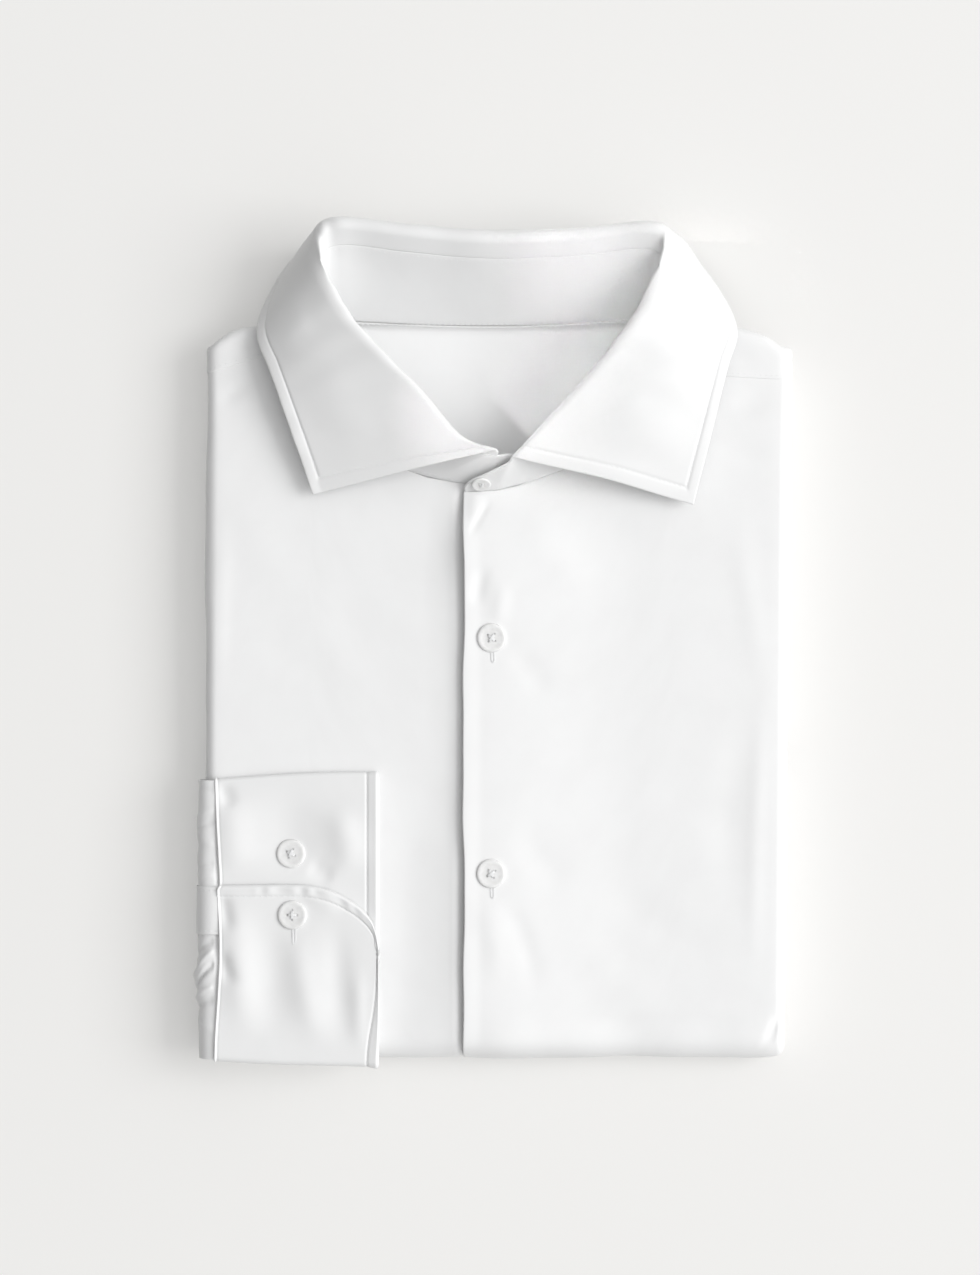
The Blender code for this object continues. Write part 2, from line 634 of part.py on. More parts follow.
def sleeve_point(y, turn, out):
    """Point of the right sleeve at one place down the side and one turn round the fold."""
    edge = read_table(SIDE_LEFT, y)
    high = front_height(-edge, max(y, CUFF_REST_Y))
    body_radius = (high - UPPER_BACK) / 2
    radius = body_radius + LAY_GAP + SLEEVE_WALL
    fullness = read_smooth(SLEEVE_PLEATS, y) * math.sin(turn) ** 2
    centre = Vector((-(edge - body_radius), y, UPPER_BACK + body_radius))
    reach = radius + fullness + out
    return centre + Vector((-math.sin(turn), 0.0, math.cos(turn))) * reach


def make_sleeve_right(collection):
    rows = [0.0, 0.06, 0.12, 0.18, 0.24, 0.3, 0.38, 0.46, 0.54, 0.6, 0.65, 0.7, 0.75, 0.8, 0.88, 0.95, 1.0]
    grid = []
    for step in range(SLEEVE_TURNS + 1):
        degrees = SLEEVE_FIRST_TURN + (180.0 - SLEEVE_FIRST_TURN) * step / SLEEVE_TURNS
        late = smooth_step((degrees - SLEEVE_LIFT_START) / SLEEVE_LIFT_LENGTH)
        length = SLEEVE_BOTTOM_Y + (SLEEVE_UNDER_Y - SLEEVE_BOTTOM_Y) * late - SLEEVE_TOP_Y
        grid.append([sleeve_point(SLEEVE_TOP_Y + length * part, math.radians(degrees), 0.0) for part in rows])
    last = grid[-1]
    for part in (0.5, 1.0):
        grid.append([Vector((point.x + (SLEEVE_END_X - point.x) * part, point.y, point.z)) for point in last])
    make_sheet("sleeve_right", grid, SLEEVE_WALL, collection, flip=True)


def make_sleeve_placket(collection):
    low, high = PLACKET_Y
    start, end = PLACKET_TURN
    grid = []
    for step in range(PLACKET_STEPS + 1):
        turn = math.radians(start + (end - start) * step / PLACKET_STEPS)
        grid.append([
            sleeve_point(high + (low - high) * part, turn, PLACKET_GAP + PLACKET_WALL)
            for part in (0.0, 0.33, 0.67, 1.0)
        ])
    make_sheet("sleeve_placket", grid, PLACKET_WALL, collection, flip=True)


def make_sleeve_left(collection):
    """The other sleeve, folded flat between the layers, its two folds showing at the side."""
    start, end = LEFT_SLEEVE_Y
    middle = (LEFT_SLEEVE_LOW + LEFT_SLEEVE_HIGH) / 2
    rings = []
    for y, inset in ((start, 7.0), (start + 3.0, 2.0), (start + 14.0, 0.4), (-110.0, 0.0), (-80.0, 0.6),
                     (end - 14.0, 0.0), (end - 3.0, 2.0), (end, 7.0)):
        edge = read_table(SIDE_RIGHT, y) - 1.2 - inset
        slim = 0.14 * inset
        rings.append([
            Vector((LEFT_SLEEVE_INNER_X + inset, y, LEFT_SLEEVE_LOW + slim)),
            Vector((edge - 4.0, y, LEFT_SLEEVE_LOW + slim)),
            Vector((edge - 1.0, y, LEFT_SLEEVE_LOW + 0.5 + slim)),
            Vector((edge - 0.2, y, (LEFT_SLEEVE_LOW + middle) / 2)),
            Vector((edge - 1.6, y, middle)),
            Vector((edge - 0.6, y, (LEFT_SLEEVE_HIGH + middle) / 2)),
            Vector((edge - 1.6, y, LEFT_SLEEVE_HIGH - 0.5 - slim)),
            Vector((edge - 4.6, y, LEFT_SLEEVE_HIGH - slim)),
            Vector((LEFT_SLEEVE_INNER_X + inset, y, LEFT_SLEEVE_HIGH - slim)),
        ])
    make_block("sleeve_left", rings, collection)


def make_button(name, seat, normal, scale, collection, cutters):
    """Round button with a raised rim and four holes, standing just off the cloth."""
    radius, thick = BUTTON_RADIUS * scale, BUTTON_THICK * scale
    profile = [(0.72 * radius, 0.0), (radius, 0.45 * thick), (0.95 * radius, 0.88 * thick),
               (0.86 * radius, thick), (radius - BUTTON_RIM - 0.8, thick - BUTTON_DISH)]
    mesh = bpy.data.meshes.new(name)
    shape = bmesh.new()
    rings = []
    for distance, height in profile:
        rings.append([
            shape.verts.new(Vector((distance * math.cos(angle), distance * math.sin(angle), height)) * MM)
            for angle in (2 * math.pi * side / BUTTON_SIDES for side in range(BUTTON_SIDES))
        ])
    for ring, following in zip(rings, rings[1:]):
        for side in range(BUTTON_SIDES):
            after = (side + 1) % BUTTON_SIDES
            shape.faces.new([ring[side], ring[after], following[after], following[side]])
    shape.faces.new(list(reversed(rings[0])))
    shape.faces.new(rings[-1])
    shape.to_mesh(mesh)
    shape.free()
    button = new_object(name, mesh, make_material(name, PEARL, BUTTON_ROUGHNESS), collection)
    turn = Vector((0.0, 0.0, 1.0)).rotation_difference(normal)
    button.rotation_mode = "QUATERNION"
    button.rotation_quaternion = turn
    button.location = (seat + normal * BUTTON_GAP) * MM
    cutter_mesh = bpy.data.meshes.new(name + "_holes")
    shape = bmesh.new()
    for sign_x in (-1, 1):
        for sign_y in (-1, 1):
            place = Vector((sign_x, sign_y, 0.0)) * BUTTON_HOLE_PITCH * scale
            made = bmesh.ops.create_cone(
                shape, cap_ends=True, segments=6, radius1=BUTTON_HOLE * scale * MM,
                radius2=BUTTON_HOLE * scale * MM, depth=4 * thick * MM)
            bmesh.ops.translate(shape, verts=made["verts"], vec=place * MM)
    shape.to_mesh(cutter_mesh)
    shape.free()
    cutter = bpy.data.objects.new(name + "_holes", cutter_mesh)
    cutters.objects.link(cutter)
    cutter.parent = button
    cutter.hide_render = True
    cutter.display_type = "WIRE"
    cut = button.modifiers.new("holes", "BOOLEAN")
    cut.operation = "DIFFERENCE"
    cut.object = cutter
    return button


def surface_normal(height, x, y):
    step = 4.0
    slope_x = (height(x + step, y) - height(x - step, y)) / (2 * step)
    slope_y = (height(x, y + step) - height(x, y - step)) / (2 * step)
    return Vector((-slope_x, -slope_y, 1.0)).normalized()


def make_buttons(collection, cutters):
    for name, x, y in BUTTONS_ON_FRONT:
        normal = surface_normal(upper_front_height, x, y)
        place = Vector((x, y, upper_front_height(x, y)))
        make_button(name, place, normal, 1.0, collection, cutters)
    for name, x, y, height in BUTTONS_ON_CUFF:
        normal = surface_normal(front_height, x, y)
        place = Vector((x, y, front_height(x, y) + height))
        make_button(name, place, normal, 1.0, collection, cutters)
    normal = Vector(COLLAR_BUTTON_FACES).normalized()
    place = Vector(COLLAR_BUTTON_AT) + normal * STAND_WALL / 2
    make_button("button_collar", place, normal, COLLAR_BUTTON_SCALE, collection, cutters)


def main():
    clear_scene()
    shirt = bpy.data.collections.new("folded_dress_shirt")
    cutters = bpy.data.collections.new("cutters")
    bpy.context.scene.collection.children.link(shirt)
    bpy.context.scene.collection.children.link(cutters)

    make_fronts(shirt)
    make_yoke(shirt)
    make_back_layers(shirt)
    make_collar(shirt)
    make_cuff(shirt)
    make_sleeve_right(shirt)
    make_sleeve_placket(shirt)
    make_sleeve_left(shirt)
    make_buttons(shirt, cutters)

    centre = bpy.data.objects.new("shirt_centre", None)
    shirt.objects.link(centre)
    centre.location = Vector((SHIFT_X, SHIFT_Y, 0.0)) * MM
    for item in shirt.objects:
        if item is not centre and item.parent is None:
            item.parent = centre


main()
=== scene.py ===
import math

import bmesh
import bpy
import numpy as np
from mathutils import Matrix, Vector


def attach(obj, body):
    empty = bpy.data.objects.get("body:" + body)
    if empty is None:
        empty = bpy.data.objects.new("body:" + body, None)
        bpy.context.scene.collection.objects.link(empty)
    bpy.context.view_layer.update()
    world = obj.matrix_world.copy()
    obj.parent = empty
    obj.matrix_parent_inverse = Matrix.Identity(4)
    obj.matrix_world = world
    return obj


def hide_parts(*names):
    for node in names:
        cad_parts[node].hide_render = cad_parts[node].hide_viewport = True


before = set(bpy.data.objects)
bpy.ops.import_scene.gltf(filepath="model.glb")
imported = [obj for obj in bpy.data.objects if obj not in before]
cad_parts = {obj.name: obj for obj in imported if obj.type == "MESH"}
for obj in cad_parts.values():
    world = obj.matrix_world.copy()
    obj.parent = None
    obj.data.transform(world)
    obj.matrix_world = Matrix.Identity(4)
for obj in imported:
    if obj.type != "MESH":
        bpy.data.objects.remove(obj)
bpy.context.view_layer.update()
mm = 0.001
middle = np.array([0.4, 0.8, 0.0])  # from the shirt's own centre lines to the middle of its box


# Reading of tables

def smoothStep(value):
    value = np.clip(value, 0.0, 1.0)
    return value * value * (3.0 - 2.0 * value)


def readTable(table, at):
    rows = np.array(sorted(table), float)
    return np.interp(at, rows[:, 0], rows[:, 1])


def throughRows(places, values, at):
    # smooth curve through the values, which may be rows of points, read at any places
    last = len(places) - 1
    slopes = np.array([(values[min(i + 1, last)] - values[max(i - 1, 0)])
                       / (places[min(i + 1, last)] - places[max(i - 1, 0)]) for i in range(last + 1)])
    low = np.clip(np.searchsorted(places, at, side="right") - 1, 0, last - 1)
    spread = np.shape(at) + (1,) * (values.ndim - 1)
    width = np.reshape(places[low + 1] - places[low], spread)
    part = np.reshape(at - places[low], spread) / width
    return (values[low] * (2 * part ** 3 - 3 * part ** 2 + 1)
            + slopes[low] * width * (part ** 3 - 2 * part ** 2 + part)
            + values[low + 1] * (3 * part ** 2 - 2 * part ** 3)
            + slopes[low + 1] * width * (part ** 3 - part ** 2))


def readSmooth(table, at):
    rows = np.array(sorted(table), float)
    return throughRows(rows[:, 0], rows[:, 1], np.clip(at, rows[0, 0], rows[-1, 0]))


def curveAt(rows, places):
    # smooth curve through the rows, read at places counted in rows
    rows = np.array(rows, float)
    last = len(rows) - 1
    low = np.clip(np.floor(places).astype(int), 0, last - 1)
    part = (np.asarray(places) - low)[:, None]
    a, b, c, d = (rows[np.clip(low + shift, 0, last)] for shift in (-1, 0, 1, 2))
    return 0.5 * (2 * b + (c - a) * part + (2 * a - 5 * b + 4 * c - d) * part ** 2
                  + (3 * b - a - 3 * c + d) * part ** 3)


def valley(distance, place, halfWidth):
    return np.exp(-((distance - place) / halfWidth) ** 2)


def creaseHeight(x, y, creases):
    # soft troughs and ridges: x and y of both ends, half width, height, bow to one side
    total = np.zeros(np.broadcast(x, y).shape)
    for startX, startY, endX, endY, halfWidth, height, bow in creases:
        alongX, alongY = endX - startX, endY - startY
        length = math.hypot(alongX, alongY)
        part = ((x - startX) * alongX + (y - startY) * alongY) / length ** 2
        off = ((x - startX) * alongY - (y - startY) * alongX) / length
        off = off - bow * np.sin(np.pi * np.clip(part, 0.0, 1.0))
        ends = smoothStep(part / 0.4) * smoothStep((1.0 - part) / 0.4)
        total = total + height * ends * valley(off, 0.0, halfWidth)
    return total


# Objects and meshes

def addObject(name, data):
    item = bpy.data.objects.new(name, data)
    bpy.context.scene.collection.objects.link(item)
    return item


def meshFrom(shape, name):
    mesh = bpy.data.meshes.new(name)
    shape.to_mesh(mesh)
    shape.free()
    return mesh


def joinRings(shape, rings, capped=True):
    # faces from ring to ring; a ring may be a single point
    for ring, following in zip(rings, rings[1:]):
        count = max(len(ring), len(following))
        for place in range(count):
            after = (place + 1) % count
            corners = [ring[place % len(ring)], ring[after % len(ring)],
                       following[after % len(following)], following[place % len(following)]]
            shape.faces.new(list(dict.fromkeys(corners)))
    if capped:
        shape.faces.new(list(reversed(rings[0])))
        shape.faces.new(rings[-1])


def declare(piece, slotName, *nodes):
    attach(piece, "root")
    if nodes:
        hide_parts(*nodes)


# Cloth as a closed thin shell with round edges

def edgeSteps(count, length, rim):
    near = np.array([0.0, 0.05, 0.18, 0.42, 1.0]) * rim / length
    return np.concatenate([near[:-1], np.linspace(near[-1], 1.0 - near[-1], count), 1.0 - near[:-1][::-1]])


def stepPlaces(length, spacings):
    # places from 0 to 1 with a spacing read along the length; each entry is place and spacing
    at, apart = np.array(spacings, float).T
    places = [0.0]
    while places[-1] < length:
        places.append(places[-1] + float(np.interp(places[-1], at, apart)))
    places = np.array(places)
    return places / places[-1]


def gridNormals(grid, side):
    normals = np.cross(np.gradient(grid, axis=0), np.gradient(grid, axis=1)) * side
    return normals / np.maximum(np.linalg.norm(normals, axis=2, keepdims=True), 1e-9)


def edgeDistances(grid):
    # distance over the cloth from each of the four edges: first row, last row, first column, last column
    rows, columns = grid.shape[:2]
    downSteps, acrossSteps = (np.linalg.norm(np.diff(grid, axis=axis), axis=2) for axis in (0, 1))
    down = np.vstack([np.zeros((1, columns)), np.cumsum(downSteps, axis=0)])
    across = np.hstack([np.zeros((rows, 1)), np.cumsum(acrossSteps, axis=1)])
    return down, down[-1:] - down, across, across[:, -1:] - across


def gridMesh(name, outer, inner, flip):
    # both faces share their outline, so the shell is closed
    rows, columns = outer.shape[:2]
    index = np.arange(rows * columns).reshape(rows, columns)
    inside = np.full((rows, columns), -1)
    inside[1:-1, 1:-1] = rows * columns + np.arange((rows - 2) * (columns - 2)).reshape(rows - 2, columns - 2)
    inside = np.where(inside < 0, index, inside)
    points = np.concatenate([outer.reshape(-1, 3), inner[1:-1, 1:-1].reshape(-1, 3)]) + middle

    def quads(table):
        corners = [table[:-1, :-1], table[1:, :-1], table[1:, 1:], table[:-1, 1:]]
        return np.stack([corner.ravel() for corner in corners], axis=1)

    front, back = quads(index), quads(inside)[:, ::-1]
    faces = np.concatenate([front, back])
    if flip:
        faces = faces[:, ::-1]
    mesh = bpy.data.meshes.new(name)
    mesh.from_pydata((points * mm).tolist(), [], faces.tolist())
    down, _, across, _ = edgeDistances(outer)
    flat = np.stack([across, down], axis=2)
    flat = np.concatenate([flat.reshape(-1, 2), flat[1:-1, 1:-1].reshape(-1, 2)]) * mm
    corners = np.zeros(len(mesh.loops), dtype=np.int32)
    mesh.loops.foreach_get("vertex_index", corners)
    layer = mesh.uv_layers.new(name="cloth")
    layer.data.foreach_set("uv", flat[corners].astype(np.float32).ravel())
    mesh.shade_smooth()
    return mesh


def makeCloth(name, node, grid, wall, material, side=1.0, onMiddle=False):
    # flat is the cut of what shows, width and length; side turns the outer face; the grid lies on the outer
    # face or on the middle of the wall
    rim = np.clip(np.minimum.reduce(edgeDistances(grid)) / (0.6 * wall), 0.0, 1.0)
    swell = np.sqrt(1.0 - (1.0 - rim) ** 2)[:, :, None]
    half = gridNormals(grid, side) * (np.broadcast_to(wall, rim.shape) / 2)[:, :, None]
    centre = grid if onMiddle else grid - half
    mesh = gridMesh(name, centre + half * swell, centre - half * swell, side < 0)
    mesh.materials.append(material)
    piece = addObject(name, mesh)
    declare(piece, "body_cloth" if material == bodyCloth else "collar_cloth", node)


# Materials

def nodeIn(tree, kind, x, y, **values):
    node = tree.nodes.new(kind)
    node.location = (x, y)
    for key, value in values.items():
        setattr(node, key, value)
    return node


def setInputs(node, values):
    for title, value in values.items():
        node.inputs[title].default_value = value


def addInputs(tree, kind, values):
    for title, value in values.items():
        socket = tree.interface.new_socket(title, in_out="INPUT", socket_type=kind)
        if value is not None:
            socket.default_value = value


def linkAll(tree, *links):
    # each link: node, output, node, input
    for source, output, target, place in links:
        tree.links.new(source.outputs[output], target.inputs[place])


def weaveGroup():
    # fine plain weave with slightly uneven yarns, as a height and a tone
    group = bpy.data.node_groups.new("shirtWeave", "ShaderNodeTree")
    addInputs(group, "NodeSocketVector", {"Vector": None})
    addInputs(group, "NodeSocketFloat", {"Weave scale": 28000.0, "Unevenness": 0.4, "Softness scale": 60.0})
    for title in ("Height", "Tone"):
        group.interface.new_socket(title, in_out="OUTPUT", socket_type="NodeSocketFloat")
    inside = nodeIn(group, "NodeGroupInput", -900, 0)
    outside = nodeIn(group, "NodeGroupOutput", 700, 0)
    scaled = nodeIn(group, "ShaderNodeVectorMath", -700, 100, operation="SCALE")
    split = nodeIn(group, "ShaderNodeSeparateXYZ", -500, 100)
    over = nodeIn(group, "ShaderNodeMath", -100, 120, operation="MULTIPLY")
    for place, axis in enumerate("XY"):
        wave = nodeIn(group, "ShaderNodeMath", -300, 200 - 160 * place, operation="SINE")
        linkAll(group, (split, axis, wave, 0), (wave, 0, over, place))
    slub = nodeIn(group, "ShaderNodeTexNoise", -500, -200)
    setInputs(slub, {"Scale": 900.0, "Detail": 2.0})
    uneven = nodeIn(group, "ShaderNodeMath", -100, -120, operation="MULTIPLY")
    height = nodeIn(group, "ShaderNodeMath", 300, 60, operation="ADD")
    cloud = nodeIn(group, "ShaderNodeTexNoise", -300, -420)
    setInputs(cloud, {"Detail": 3.0})
    linkAll(group, (inside, "Vector", scaled, 0), (inside, "Weave scale", scaled, "Scale"),
            (scaled, "Vector", split, 0), (inside, "Vector", slub, "Vector"), (slub, "Fac", uneven, 0),
            (inside, "Unevenness", uneven, 1), (over, 0, height, 0), (uneven, 0, height, 1),
            (height, 0, outside, "Height"), (inside, "Vector", cloud, "Vector"),
            (inside, "Softness scale", cloud, "Scale"), (cloud, "Fac", outside, "Tone"))
    return group


weave = weaveGroup()
shirting = {
    # body cloth, and the firmer cloth of collar and cuff
    "bodyColours": ((0.852, 0.853, 0.853), (0.868, 0.87, 0.87)),
    "firmColours": ((0.82, 0.822, 0.822), (0.836, 0.838, 0.838)),
    "bodyRoughness": 0.55, "firmRoughness": 0.5, "bodySoftness": 0.0006, "firmSoftness": 0.0003,
    "sheen": 0.18, "sheenRoughness": 0.4, "specular": 0.35, "tonePlaces": (0.3, 0.62),
    "weaveHeight": 0.00002, "weaveStrength": 0.3, "softStrength": 0.03, "softScale": 38.0,
}


def surface(name, values):
    material = bpy.data.materials.new(name)
    material.use_nodes = True
    shader = material.node_tree.nodes["Principled BSDF"]
    setInputs(shader, values)
    return material, material.node_tree, shader


def toneRamp(tree, source, output, shader, places, colours):
    ramp = nodeIn(tree, "ShaderNodeValToRGB", -450, 0)
    for element, place, colour in zip(ramp.color_ramp.elements, places, colours):
        element.position = place
        element.color = (*colour, 1.0)
    linkAll(tree, (source, output, ramp, "Fac"), (ramp, "Color", shader, "Base Color"))


def clothMaterial(name, kind):
    material, tree, shader = surface(name, {
        "Roughness": shirting[kind + "Roughness"], "Sheen Weight": shirting["sheen"],
        "Sheen Roughness": shirting["sheenRoughness"], "Specular IOR Level": shirting["specular"]})
    uv = nodeIn(tree, "ShaderNodeUVMap", -1200, 0, uv_map="cloth")
    place = nodeIn(tree, "ShaderNodeTexCoord", -1200, -300)
    yarns = nodeIn(tree, "ShaderNodeGroup", -950, 0, node_tree=weave)
    soft = nodeIn(tree, "ShaderNodeGroup", -950, -300, node_tree=weave)
    setInputs(soft, {"Softness scale": shirting["softScale"]})
    toneRamp(tree, yarns, "Tone", shader, shirting["tonePlaces"], shirting[kind + "Colours"])
    fine = nodeIn(tree, "ShaderNodeBump", -500, -120)
    setInputs(fine, {"Strength": shirting["weaveStrength"], "Distance": shirting["weaveHeight"]})
    broad = nodeIn(tree, "ShaderNodeBump", -300, -260)
    setInputs(broad, {"Strength": shirting["softStrength"], "Distance": shirting[kind + "Softness"]})
    linkAll(tree, (uv, "UV", yarns, "Vector"), (place, "Object", soft, "Vector"),
            (yarns, "Height", fine, "Height"), (soft, "Tone", broad, "Height"),
            (fine, "Normal", broad, "Normal"), (broad, "Normal", shader, "Normal"))
    return material


def cloudyMaterial(name, values, noise, places, colours):
    # tone that changes softly over the object
    material, tree, shader = surface(name, values)
    place = nodeIn(tree, "ShaderNodeTexCoord", -900, 0)
    cloud = nodeIn(tree, "ShaderNodeTexNoise", -700, 0)
    setInputs(cloud, noise)
    linkAll(tree, (place, "Object", cloud, "Vector"))
    toneRamp(tree, cloud, "Fac", shader, places, colours)
    return material


bodyCloth = clothMaterial("bodyShirting", "body")
firmCloth = clothMaterial("collarShirting", "firm")
thread = cloudyMaterial("sewingThread", {"Roughness": 0.5, "Sheen Weight": 0.1}, {"Scale": 2500.0},
                        (0.0, 1.0), ((0.78, 0.785, 0.79), (0.88, 0.885, 0.89)))
pearl = cloudyMaterial("buttonPearl", {
    "Roughness": 0.22, "Subsurface Weight": 0.5, "Subsurface Radius": (0.0025, 0.0025, 0.0024),
    "Subsurface Scale": 1.0, "Coat Weight": 0.35, "Coat Roughness": 0.12,
}, {"Scale": 260.0, "Detail": 4.0, "Distortion": 1.2}, (0.3, 0.7), ((0.80, 0.80, 0.79), (0.88, 0.88, 0.87)))
print("materials ready")


# Body: two fronts, folded under at the bottom and at the sides

body = {
    "wall": 0.5, "facingWall": 0.95, "facingWidth": 32, "facingEase": 6,
    "upperBack": 10.4, "tailTop": 4.5, "tailInLow": 5.3, "tailInTop": 9.8,
    "bottomFoldY": -164.2, "bottomFoldReach": 9.8, "topFoldY": 119, "tailEndY": -40,
    "tailInset": 1.4, "turnedUnder": 16, "underYoke": 1.4, "leftEndX": 114.8, "rightEndX": -113.4,
    # column spacing: distance from the free edge, spacing
    "leftSpacing": [(0, 0.04), (0.3, 0.12), (1, 0.3), (2, 0.6), (4, 1), (46, 1.1), (52, 1.8),
                    (130, 1.8)],
    "rightSpacing": [(0, 0.05), (0.3, 0.15), (1, 0.6), (5, 1.6), (35, 1.6), (38.5, 0.22), (43.5, 0.22),
                     (46, 0.8), (62, 1.2), (80, 1.8), (136, 1.8)],
    "height": [(-165, 19.7), (-100, 20), (0, 20.4), (60, 20.9), (90, 20.8), (112, 20),
               (126, 19.4)],
    "crown": 0.5, "crownHalf": 121, "dimple": 0.35, "dimpleRadius": 8.5,
    "sideLeft": [(-175, 120.2), (20, 120.6), (112, 119.8)],
    "sideRight": [(-175, 121.4), (20, 123.1), (112, 124.3)],
    "neckRight": [(-77.2, 121.4), (-76.6, 113), (-74, 105.2), (-70, 98.3), (-65, 91.6), (-58.7, 85.8),
                  (-50, 79.2), (-40.4, 73.3), (-28, 68.6), (-17.5, 66.8), (-2.1, 66.4), (10, 66.8),
                  (22.5, 67.6)],
    "neckLeft": [(-12.8, 62.7), (0.8, 63.1), (9, 64.9), (18, 67.9), (30, 72.2), (40.8, 77.1), (50, 82.2),
                 (58.3, 88.1), (64.5, 93.6), (69.4, 99.5), (73, 105.6), (75.4, 111.3), (76, 113.6)],
    "yokeSeamLeft": [(77.2, 121.4), (96, 119.2), (119, 112.6)],
    "yokeSeamRight": [(76, 113.6), (98.7, 110.9), (122.5, 109.7)],
    # unevenness of the free edge, the bottom fold and the side folds: height, length, shift of each wave
    "edgeSway": [(0.32, 21, 0.6), (0.2, 9.3, 0), (0.1, 4.9, 1)], "edgeSwayWidth": 9,
    "bottomWave": [(0.32, 13, 0.4), (0.2, 5.6, 1), (0.25, 31, 2)],
    "rippleLeft": [(0.22, 17, -1), (0.16, 7.3, -2), (0.12, 31, 0)],
    "rippleRight": [(0.22, 17, 1), (0.16, 7.3, 2), (0.12, 31, 0)],
}
closure = {
    "edgeX": -12.8, "underEdgeX": 22.5, "liftWidth": 72, "curl": 0.55, "curlWidth": 8,
    # the lower front slopes up towards the edge over it, by y: height and width of that slope
    "slopeEnd": -17.4, "slopeHeight": [(-166, 1.7), (-100, 1.6), (-70, 0.6), (0, 0.5), (38, 1),
                                       (60, 0.4), (68, 0)],
    "slopeWidth": [(-166, 22), (-90, 20), (-60, 11), (30, 12), (66, 8)],
    "slopePower": 1.6,
    # and then dips under it
    "dipStart": -16.6, "dipWidth": 9, "dip": 1.95,
    # y, height of the upper front's free edge over the cloth below
    "lift": [(-164, 3.6), (-120, 4.4), (-60, 3.7), (-10, 3.4), (18, 4.1), (38, 5.2), (50, 3.9),
             (66, 1.4)],
}
# x and y of both ends, half width, height, bow
leftFrontCreases = [
    (-0.5, 60, -10.5, 43, 1.3, -0.55, 0.6),
    (-7.5, 66, -8, 47, 3.2, 0.55, 0),
    (-3, 33, -7.5, 13, 3, -0.6, 1),
    (4.5, 27, 0.5, 4, 3.6, 0.45, 0),
    (-5, -103, 2, -146, 5, 0.4, -1.5),
    (3, -103, 18, -150, 4.5, -0.42, -2.5),
    (112, -171.5, 119.8, -154, 1.4, -0.9, 0),
    (8, -76, 34, -104, 7, -0.45, 2),
    (6, 2, 26, -24, 5.5, -0.4, 1.5),
    (10, 50, 44, 22, 9, 0.5, 2),
    (16, 52, 70, 38, 7, -0.35, -3),
    (42, -96, 96, -132, 8, -0.35, 4),
    (60, -60, 112, -84, 9, -0.3, -3),
    (30, -120, 78, -158, 8, 0.3, 3),
    (84, 92, 116, 100, 4.5, -0.5, 1),
    (88, 84, 117, 78, 5, -0.3, 1.5),
    (101, 62, 116, -30, 5, 0.3, 2),
    (113, -8, 108, -150, 3.6, 0.4, 1.5),
    (104, -20, 96, -120, 6, -0.25, 2),
    (20, -159.5, 116, -158, 3.4, -0.35, -1),
]
rightFrontCreases = [
    (-46, -40, -44, -150, 8, 0.4, 2),
    (-92, 96, -60, 62, 8, -0.4, 2),
    (-110, 70, -84, 20, 9, 0.3, 3),
    (-70, 30, -30, -20, 12, -0.3, 4),
    (-108, 10, -60, -34, 9, -0.3, -4),
    (-100, 108, -116, 100, 3, -0.5, 0),
    (-112, 60, -115, -30, 3.6, 0.35, 1),
]
undersideCreases = [
    (-70, -120, 40, -60, 6, -0.5, 6),
    (-90, 20, -20, 60, 7, -0.6, -5),
    (20, 80, 100, 30, 6, -0.5, 4),
    (60, -30, 110, -90, 5, -0.45, 3),
]


def frontHeight(x, y):
    return readSmooth(body["height"], y) + body["crown"] * (1.0 - (x / body["crownHalf"]) ** 2)


def edgeLift(x, y):
    part = 1.0 - smoothStep((x - closure["edgeX"]) / closure["liftWidth"])
    return readSmooth(closure["lift"], y) * part


def bodyRows(x, topY):
    # each row down the folded cloth: outer y and z, inner y and z, share of the front, share of the tail
    rows = []
    foldY, reach = body["bottomFoldY"], body["bottomFoldReach"]
    for part in edgeSteps(176, 240.0, 0.5)[:-4]:
        y = topY + (foldY - topY) * part
        rows.append((y, frontHeight(x, y), y, body["upperBack"], 1.0, 0.0))
    high = frontHeight(x, foldY)
    innerMiddle = (body["upperBack"] + body["tailTop"]) / 2
    innerRadius = (body["upperBack"] - body["tailTop"]) / 2
    for turn in np.linspace(0.0, math.pi, 23)[1:]:
        fade = 1.0 - smoothStep(turn / 1.25)
        rows.append((foldY - reach * math.sin(turn), high / 2 * (1 + math.cos(turn)),
                     foldY - innerRadius * math.sin(turn), innerMiddle + innerRadius * math.cos(turn),
                     fade, 0.5 * turn / math.pi))
    for part in np.linspace(0.0, 1.0, 46)[1:]:
        y = foldY + (body["topFoldY"] - foldY) * part
        rows.append((y, 0.0 * x, y, body["tailTop"], 0.0, 0.5 + 2.0 * part))
    centre = body["tailInTop"] / 2
    innerRadius = (body["tailInLow"] - body["tailTop"]) / 2
    for turn in np.linspace(0.0, math.pi, 13)[1:]:
        rows.append((body["topFoldY"] + centre * math.sin(turn), centre - centre * math.cos(turn),
                     body["topFoldY"] + innerRadius * math.sin(turn), centre - innerRadius * math.cos(turn),
                     0.0, 1.0))
    for part in edgeSteps(8, 159.0, 0.5)[4:]:
        y = body["topFoldY"] + (body["tailEndY"] - body["topFoldY"]) * part
        rows.append((y, body["tailInTop"], y, body["tailInLow"], 0.0, 1.0))
    full = [[np.broadcast_to(value, x.shape) for value in row] for row in rows]
    return np.array(full, float)  # rows, six values, columns


